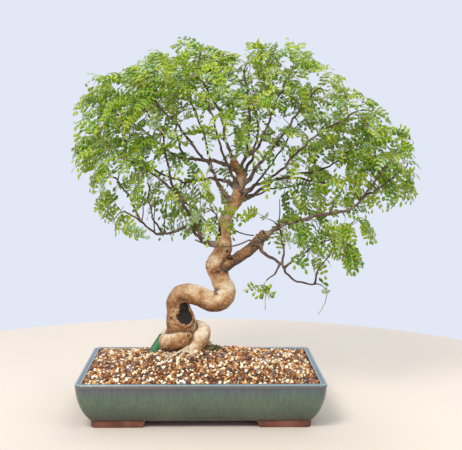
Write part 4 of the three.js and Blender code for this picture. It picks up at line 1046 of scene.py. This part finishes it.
def add_leaf(part, start, heading, length, facing):
    """One feathered leaf: its stalk, and a place, turn, size and tint for each leaflet."""
    for _ in range(4):
        places, ways = leaf_stalk(start, heading, length, draw.uniform(0.2, 0.5))
        if in_crown(places[-1] + ways[-1] * LEAFLET_LENGTH * 0.5):
            break
        heading, length = unit(heading + 0.6 * unit(CROWN_HEART - start)), length * 0.8
    else:
        return
    stalks[part].append([(*p, 0.42 - 0.2 * i / len(places)) for i, p in enumerate(places)])
    tint = draw.random()
    age = draw.uniform(0.9, 1.1)
    for i, (place, way) in enumerate(zip(places, ways)):
        if i == 0:
            continue
        last = i == len(places) - 1
        side = unit(np.cross(way, facing))
        face = np.cross(side, way)
        share = i / (len(places) - 1)
        full = LEAFLET_LENGTH * age * (0.78 + 0.5 * math.sin(math.pi * min(share + 0.12, 1)) * 0.6)
        for sign in ((0,) if last else (-1, 1)):
            if sign and draw.random() < LOST_LEAFLETS:
                continue
            lean = math.radians(draw.gauss(LEAFLET_ANGLE, 7)) * sign
            along = unit(way * math.cos(lean) + side * math.sin(lean) - face * draw.uniform(0.0, 0.3))
            normal = unit(face + side * sign * 0.15 + scatter(0.16))
            across = unit(np.cross(normal, along))
            normal = np.cross(along, across)
            turn = Matrix((along, across, normal)).transposed().to_euler()
            size = full * draw.uniform(0.88, 1.1) * (1.12 if last else 1)
            blades[part].append((place, turn, size, min(max(tint + draw.gauss(0, 0.09), 0), 1)))


clouds = {}
for sprays in CROWN.values():
    for spray in sprays:
        vertices = frame["nodes"]["foliage_" + spray].data.vertices
        clouds[spray] = (np.array([v.co for v in vertices]) - soil_zero) / MM
centres = {spray: (cloud.min(0) + cloud.max(0)) / 2 for spray, cloud in clouds.items()}
wood_places = np.array([spot for spot, _, _ in wood])
twigs = {part: [] for part in CROWN}
LIGHT_SIDE = np.array([-0.3, -0.75, 0.65])
# leafy twigs fill the crown's inside, wherever wood is near
inner_aims = []
while len(inner_aims) < INNER_SHOOTS:
    aim = np.array([draw.uniform(-135, 235), draw.uniform(-75, 100), draw.uniform(200, 365)])
    near_wood = norm(wood_places - aim, axis=1).min()
    if 8 < near_wood < 42 and in_crown(aim) and aim[2] > 235 - 0.28 * abs(aim[0] - 40) and all(
            norm(aim - other) > 24 for other in inner_aims):
        inner_aims.append(aim)

for part, sprays in CROWN.items():
    # where each shoot ends, and how long its leaves are: in the sprays, between them, and inside them
    aims = []
    for spray in sprays:
        cloud, centre, picked = clouds[spray], centres[spray], []
        order = list(range(len(cloud)))
        draw.shuffle(order)
        small = spray.startswith("droop")
        for number in order:
            aim = centre + (cloud[number] - centre) * draw.uniform(0.35, 0.92)
            if part == "top":
                aim = aim + UP * 7
            if (small or in_crown(aim)) and all(
                    norm(aim - other) > SHOOT_GAP[part] for other in picked):
                picked.append(aim)
        if small:
            aims += [(aim, DROOP_LEAF) for aim in picked[:5]]
            continue
        aims += [(aim, SPRAY_LEAF) for aim in picked]
        for aim in picked:
            if draw.random() < 0.25:
                nearest = wood_places[np.argmin(norm(wood_places - aim, axis=1))]
                inner = aim + (nearest - aim) * draw.uniform(0.3, 0.7) + scatter(13)
                aims.append((inner, INNER_LEAF))
        for other, middle in centres.items():
            if spray < other and not other.startswith("droop") and norm(middle - centre) < 115:
                between = centre + (middle - centre) * 0.5 + scatter(13)
                if in_crown(between):
                    aims.append((between, BETWEEN_LEAF))
    aims += [(aim, HEART_LEAF) for aim in inner_aims if INNER_SPAN[part][0] < aim[0] <= INNER_SPAN[part][1]]
    ready = list(wood)
    aims.sort(key=lambda aim: norm(wood_places - aim[0], axis=1).min())
    for aim, leaf_length in aims:
        places = np.array([spot for spot, _, _ in ready])
        headings = np.array([way for _, way, _ in ready])
        gaps = aim - places
        reach = norm(gaps, axis=1)
        cost = reach * (1.25 - 0.35 * (gaps * headings).sum(1) / np.maximum(reach, 1))
        best = int(np.argmin(cost))
        start, way, radius = ready[best]
        length = reach[best]
        if length < 5:
            continue
        outward = unit(aim - CROWN_HEART)
        bend = start + unit(way * 0.7 + unit(aim - start) + UP * 0.25 + scatter(0.2)) * length * 0.5
        steps = max(int(length / 4), 3)
        base = min(0.75 + 0.011 * length, radius * 0.9)
        line = []
        for i in range(steps + 1):
            t = i / steps
            spot = start * (1 - t) ** 2 + bend * 2 * t * (1 - t) + aim * t ** 2
            spot = spot + scatter(0.6) * (0 < i < steps)
            line.append(spot)
        thin = [(*spot, base + (0.42 - base) * (i / steps) ** 0.7) for i, spot in enumerate(line)]
        # the inner part of a long shoot has turned to dark wood
        woody = int(steps * 0.62) if length > 16 else 0
        if woody:
            twigs[part].append(thin[:woody + 1])
        shoots[part].append(thin[woody:])
        ready += [(line[i], unit(line[i] - line[i - 1]), thin[i][3]) for i in range(1, steps + 1)]
        # alternate leaves along the shoot, and two at its end
        run, sign = max(draw.uniform(3, 8), length - 46), draw.choice((-1, 1))
        while run < length - 3:
            t = run / length
            i = min(int(t * steps), steps - 1)
            here = line[i] + (line[i + 1] - line[i]) * (t * steps - i)
            ahead_way = unit(line[i + 1] - line[i])
            side = unit(np.cross(ahead_way, UP) + scatter(0.15)) * sign
            heading = unit(0.55 * ahead_way + 0.8 * side + 0.35 * outward + 0.25 * UP + scatter(0.22))
            facing = unit(LIGHT_SIDE * 0.75 + outward * 0.6 + scatter(0.35))
            add_leaf(part, here, heading, leaf_length * draw.uniform(0.68, 1.2), facing)
            run += LEAF_GAP * draw.uniform(0.8, 1.25)
            sign = -sign
        for _ in range(2):
            heading = unit(unit(aim - bend) + 0.5 * outward + 0.2 * UP + scatter(0.4))
            facing = unit(LIGHT_SIDE * 0.75 + outward * 0.6 + scatter(0.35))
            add_leaf(part, aim, heading, leaf_length * draw.uniform(0.75, 1.25), facing)

# One leaflet: a blunt egg shape as long as it is turned to, thin-edged, folded a little down its midrib.
outline = [(0.16, 0.22), (0.5, 0.32), (0.85, 0.24)]
leaflet_points = [(0, 0, 0), (1, 0, -0.05)]
for x, half in outline:
    leaflet_points += [(x, half, 0.0), (x, -half, 0.0), (x, 0, -0.035), (x, 0, -0.075)]
left, right_, top, under = ([2 + 4 * k + j for k in range(3)] for j in range(4))
leaflet_faces = []
for a, b, ridge, flip in ((left, None, top, False), (None, right_, top, True),
                          (left, None, under, True), (None, right_, under, False)):
    edge = a or b
    sheet = [(0, ridge[0], edge[0]), (ridge[2], 1, edge[2])]
    sheet += [(ridge[k], ridge[k + 1], edge[k + 1], edge[k]) for k in range(2)]
    leaflet_faces += [f[::-1] if flip else f for f in sheet]
leaflet = new_piece("leaflet", leaflet_points, leaflet_faces)
store(leaflet.data, "underside", [0] * 8 + [1] * 8, domain="FACE")
store(leaflet.data, "from_midrib", [0, 0.6] + [1, 1, 0, 0] * 3)

# Leaflets stand where the points are, each with its own turn, size and tint.
leaf_tree, given, out = new_tree("leaflets_on_stalks", Leaflet="Object", Finish="Material")
shape = add_node(leaf_tree, "GeometryNodeObjectInfo", links={"Object": given["Leaflet"]}).outputs["Geometry"]
turn = add_node(leaf_tree, "GeometryNodeInputNamedAttribute", {"data_type": "FLOAT_VECTOR"}, {"Name": "turn"})
size = add_node(leaf_tree, "GeometryNodeInputNamedAttribute", links={"Name": "size"})
laid = add_node(leaf_tree, "GeometryNodeInstanceOnPoints", links={
    "Points": given["Geometry"], "Instance": shape,
    "Rotation": add_node(leaf_tree, "FunctionNodeEulerToRotation", links={0: turn}), "Scale": size})
finish_tree(leaf_tree, given, out, laid, True)

# Living leaf: waxy above with a soft shine, matt and paler beneath, and it glows yellow-green where
# light comes through. Tints run from deep to young yellow-green; the few pale grey-green ones are painted
# sheen, sky reflected on the wax.
leaf_green, tree, shader, where = new_material("waxy_green_leaf", IOR=1.45, Roughness=0.42, Coat_Weight=0.15)
tint = add_node(tree, "Attribute", {"attribute_name": "tint"}).outputs["Fac"]
under_at = add_node(tree, "Attribute", {"attribute_name": "underside"}).outputs["Fac"]
from_rib = add_node(tree, "Attribute", {"attribute_name": "from_midrib"}).outputs["Fac"]
mottle = add_node(tree, "TexNoise", links={"Vector": where, "Scale": 400.0, "Detail": 3.0})
stirred = add_node(tree, "Math", {"operation": "MULTIPLY_ADD"}, {0: mottle, 1: 0.16, 2: tint})
placed = add_node(tree, "Math", {"operation": "SUBTRACT"}, {0: stirred, 1: 0.08})
# The palest grey-green tints are painted sheen: sky reflected on glossy leaves.
greens_and_painted_sheen = add_node(tree, "ValToRGB", {"stops": [
    (0.0, "#72a226"), (0.25, "#a2c828"), (0.6, "#cadb30"), (0.82, "#d6e256"), (0.9, "#b2d69e"),
    (1.0, "#dcedcc")]},
    {"Fac": placed})
rib_at = add_node(tree, "MapRange", links={
    "Value": from_rib, "From Max": 0.25, "To Min": 0.35, "To Max": 0.0})
ribbed = layered(tree, greens_and_painted_sheen, (rib_at, "#a9c26a"))
beneath = layered(tree, ribbed, (0.5, "#b4c88c"))
sided = layered(tree, ribbed, (under_at, beneath))
feed(shader, {"Base Color": sided})
glow = add_node(tree, "BsdfTranslucent", links={"Color": sided})
leafy = add_node(tree, "MixShader", links={0: 0.5, 1: shader, 2: glow})
feed(tree.nodes["Material Output"], {"Surface": leafy})

# This year's stems: soft, finely haired and dull, mottled from brown to green; the leaf stalks are paler.
green_bark = mottled("green_shoot_skin", 60.0, 3.0, [(0.35, "#7d6236"), (0.5, "#a38f4a"), (0.65, "#b4ae5e")],
                     IOR=1.45, Roughness=0.6)
stalk_skin = mottled("pale_leaf_stalk", 90.0, 3.0, [(0.35, "#a8b04c"), (0.65, "#c0c878")],
                     IOR=1.45, Roughness=0.55)

for part, sprays in CROWN.items():
    nodes = ["foliage_" + spray for spray in sprays]
    leaves = new_piece(f"leaflets_{part}", [above_soil(*spot) for spot, *_ in blades[part]], [])
    store(leaves.data, "turn", [tuple(turn) for _, turn, _, _ in blades[part]], "FLOAT_VECTOR")
    store(leaves.data, "size", [size * MM for _, _, size, _ in blades[part]])
    store(leaves.data, "tint", [tint for *_, tint in blades[part]])
    grow(leaves, leaf_tree, Leaflet=leaflet, Finish=leaf_green)
    hand_over(leaves, "leaves", *nodes)
    hand_over(stems(f"leaf_stalks_{part}", stalks[part], 3, 0.2, 300, stalk_skin), "leaves", *nodes)
    hand_over(stems(f"shoots_{part}", shoots[part], 5, 0.5, 300, green_bark), "leaves", *nodes)
    hand_over(stems(f"twigs_{part}", twigs[part], 6, 0.6, 300, twig_bark), "limbs")
bpy.data.objects.remove(leaflet)
bare_shoots = stems("bare_shoots", [curve_through(line, 4) for line in BARE_SHOOTS], 7, 0.7, 300, twig_bark)
hand_over(bare_shoots, "limbs")

# ---------------------------------------------------------------- training wire, stake and moss
# Old training wire, brown with age, crosses the front of the stem from the low left limb and is wound
# round the stub of the thick limb. A green plastic strip props the foot of the coil on the left. Moss
# and caught dust grow low on the right of the foot.

WIRE_RADIUS = 1.05
WIRE_STEPS = 33
STAKE_WIDTH = 10
MOSS_VOXEL = 0.9
TUFT_GAP, TUFT_HEIGHT = 0.85, 1.5
WIRE_ROUTE = [
    (-9, 6, 147), (5, 8, 141), (15, 8, 138.5), (25, 7.5, 138), (35, 8, 138), (43, 11, 139), (52, 11, 142),
    (60, 8.6, 146)]
limb_line = curve_through(THICK_LIMB, 12)
turns = []
for step in range(WIRE_STEPS + 1):
    share = step / WIRE_STEPS
    spot = limb_line[int((0.70 + 0.26 * share) * (len(limb_line) - 1))]
    ahead = unit(limb_line[-1][:3] - limb_line[-12][:3])
    across = unit(np.cross(ahead, UP))
    over = np.cross(across, ahead)
    angle = -1.9 + share * 2 * math.pi * 1.6
    out_way = across * math.cos(angle) - over * math.sin(angle)
    ring = spot[:3] + out_way * (spot[3] + 0.9)
    turns.append((*ring, 0))
wire_line = curve_through([(*spot, 0) for spot in WIRE_ROUTE] + turns[::3], 6)
wire_line[:, 3] = WIRE_RADIUS

# Annealed iron wire left on for years: brown oxide over dull grey.
old_wire = mottled("weathered_iron_wire", 420.0, 5.0, [
    (0.35, "#54412f"), (0.6, "#857358"), (0.8, "#a0927a")], 0.5, 0.15, Metallic=0.35, Roughness=0.62)
wire = stems("wound_training_wire", [wire_line], 10, 0.12, 600, old_wire)
hand_over(wire, "training_wire", "training_wire")

# Extruded polypropylene strip: even green, satin, finely scuffed, near black along one long edge.
green_plastic = mottled("green_polypropylene_strip", 350.0, 5.0, [(0.3, "#13602f"), (0.7, "#25854a")],
                        0.3, 0.1, IOR=1.49, Roughness=0.38)
near_black_edge_finish = mottled("black_polypropylene_edge", 350.0, 5.0, [(0.3, "#141614"), (0.75, "#2e332f")],
                        IOR=1.49, Roughness=0.45)

stake_foot, stake_tip = np.array([-80, 13, -24.0]), np.array([-51, 31, 17.0])
along = unit(stake_tip - stake_foot)
wide = unit(np.array([1, 0, 0]) - along * along[0])
deep = np.cross(along, wide)
section = [(-5, -0.75), (-4.6, -1), (-3.6, -1), (0, -0.8), (4.4, -1), (5, -0.6), (5, 0.6), (4.4, 1),
           (0, 0.8), (-3.6, 1), (-4.6, 1), (-5, 0.75)]
rows = [0, 0.01, 0.2, 0.4, 0.6, 0.8, 0.985, 1]
length = norm(stake_tip - stake_foot)
points = []
for k, share in enumerate(rows):
    shrink = 0.9 if k in (0, len(rows) - 1) else 1
    bow = 0.5 * math.sin(math.pi * share)
    for a, b in section:
        tip_cut = 0.985 + 0.015 * (1 - abs(a) / (STAKE_WIDTH / 2)) if k == len(rows) - 1 else 1
        spot = stake_foot + along * length * share * tip_cut + wide * a * shrink + deep * (b * shrink + bow)
        points.append(above_soil(*spot))
stake = new_piece("green_strip", points, loft(len(rows), len(section)), green_plastic, near_black_edge_finish)
skin = bmesh.new()
skin.from_mesh(stake.data)
bmesh.ops.recalc_face_normals(skin, faces=skin.faces)
skin.to_mesh(stake.data)
skin.free()
for face in stake.data.polygons:
    place = (np.array(face.center) - soil_zero) / MM - stake_foot
    face.material_index = 1 if place @ wide < -3.4 else 0
hand_over(stake, "stake", "green_stake")

# Cushion moss: a dark mat of tiny upright leaves, dull, olive to dusty brown where it is dry.
moss_mat = mottled("cushion_moss", 260.0, 5.0, [
    (0.3, "#3a2f1b"), (0.5, "#5a5230"), (0.62, "#7b7040"), (0.78, "#9b8660")], IOR=1.4, Roughness=0.95)
moss_bed = merged_copy("moss", "moss_bed")
swell = moss_bed.modifiers.new("swell", "REMESH")
swell.mode, swell.voxel_size, swell.use_smooth_shade = "VOXEL", MOSS_VOXEL * MM, True
bake_modifiers(moss_bed)
for vertex in moss_bed.data.vertices:
    p = vertex.co / MM
    vertex.co += vertex.normal * (1.8 + 1.2 * noise.noise(p / 4) + 0.5 * noise.noise(p / 1.6)) * MM
moss_bed.data.update()
moss_bed.data.materials.append(moss_mat)

# Each tuft is three small upright blades.
tuft_points, tuft_faces = [], []
for k in range(3):
    a = 2 * math.pi * k / 3
    c, s = math.cos(a), math.sin(a)
    base = len(tuft_points)
    tuft_points += [
        (0.12 * c - 0.16 * s, 0.12 * s + 0.16 * c, 0), (0.12 * c + 0.16 * s, 0.12 * s - 0.16 * c, 0),
        (0, 0, 0.25), (0.5 * c, 0.5 * s, 1.0)]
    tuft_faces += [(base, base + 1, base + 3), (base + 1, base + 2, base + 3), (base + 2, base, base + 3),
                   (base, base + 2, base + 1)]
tuft = new_piece("tuft", tuft_points, tuft_faces)
tufts = bpy.data.collections.new("tuft_kinds")
scene.collection.objects.unlink(tuft)
tufts.objects.link(tuft)
moss_tufts = new_piece("moss_tufts", [], [])
moss_tufts.data = moss_bed.data.copy()
grow(moss_tufts, grain_tree, Gap=TUFT_GAP * MM, Grain=TUFT_HEIGHT * MM, From=0.0, To=1.0, Seed=GRAIN_SEED,
     Kinds=tufts, Finish=moss_mat)
bpy.data.objects.remove(tuft)
bpy.data.collections.remove(tufts)
hand_over(moss_bed, "moss", "moss")
hand_over(moss_tufts, "moss", "moss")

# ---------------------------------------------------------------- floor, light and camera
# A plain pale disc to stand on, a pale tent of light, one broad soft lamp from the upper left, a weak one
# from the right and one from above and behind, which shines through the leaves. The camera looks a little
# down on the pot, as one looks at a tree on a table.

FLOOR_RADIUS = 0.62
FLOOR_SIDES = 128
LENS, SENSOR = 71.92, 36
CAMERA_PLACE = (3.8, -1179.3, 340.5)
CAMERA_TURN = (1.62, 4.93, 0.3)      # yaw, pitch and roll in degrees
points = [(POT_X, POT_Y, 0)] + [
    (POT_X + FLOOR_RADIUS * math.cos(a), POT_Y + FLOOR_RADIUS * math.sin(a), 0)
    for a in (2 * math.pi * k / FLOOR_SIDES for k in range(FLOOR_SIDES))]
floor = new_piece("floor", points, [(0, k + 1, (k + 1) % FLOOR_SIDES + 1) for k in range(FLOOR_SIDES)])
floor.data.materials.append(new_material("pale_matt_paper", Base_Color=linear("#d8cdbf"), Roughness=0.85)[0])

world = bpy.data.worlds.new("pale_tent")
scene.world = world
world.use_nodes = True
sky = world.node_tree.nodes["Background"]
seen = add_node(world.node_tree, "LightPath").outputs["Is Camera Ray"]
bright = add_node(world.node_tree, "MapRange", links={"Value": seen, "To Min": 0.96, "To Max": 0.98})
feed(sky, {"Color": linear("#e4eaf8"), "Strength": bright})

TREE_MIDDLE = Vector((POT_X + 0.04, POT_Y, 0.24))
for name, spot, width, power in (("key", (-0.6, -1.15, 1.2), 0.7, 25), ("fill", (1.1, -0.9, 0.6), 0.8, 4),
                                ("back", (0.35, 0.9, 1.5), 0.9, 11)):
    lamp = bpy.data.lights.new(name, "AREA")
    lamp.shape, lamp.size, lamp.energy = "DISK", width, power
    lamp.color = (1.0, 0.965, 0.91)
    holder = bpy.data.objects.new(name, lamp)
    holder.location = TREE_MIDDLE + Vector(spot)
    holder.rotation_euler = (-Vector(spot)).to_track_quat("-Z", "Y").to_euler()
    scene.collection.objects.link(holder)

scene.view_settings.view_transform = "Standard"
yaw, pitch, roll = (math.radians(angle) for angle in CAMERA_TURN)
ahead = Vector((math.sin(yaw) * math.cos(pitch), math.cos(yaw) * math.cos(pitch), -math.sin(pitch)))
level = Vector((math.cos(yaw), -math.sin(yaw), 0))
right = level * math.cos(roll) + level.cross(ahead) * math.sin(roll)
up = right.cross(ahead)
camera = bpy.data.objects.new("camera", bpy.data.cameras.new("camera"))
camera.data.lens, camera.data.sensor_width = LENS, SENSOR
camera.matrix_world = Matrix.Translation(in_pot(*CAMERA_PLACE)) @ Matrix(
    (right, up, -ahead)).transposed().to_4x4()
scene.collection.objects.link(camera)
scene.camera = camera
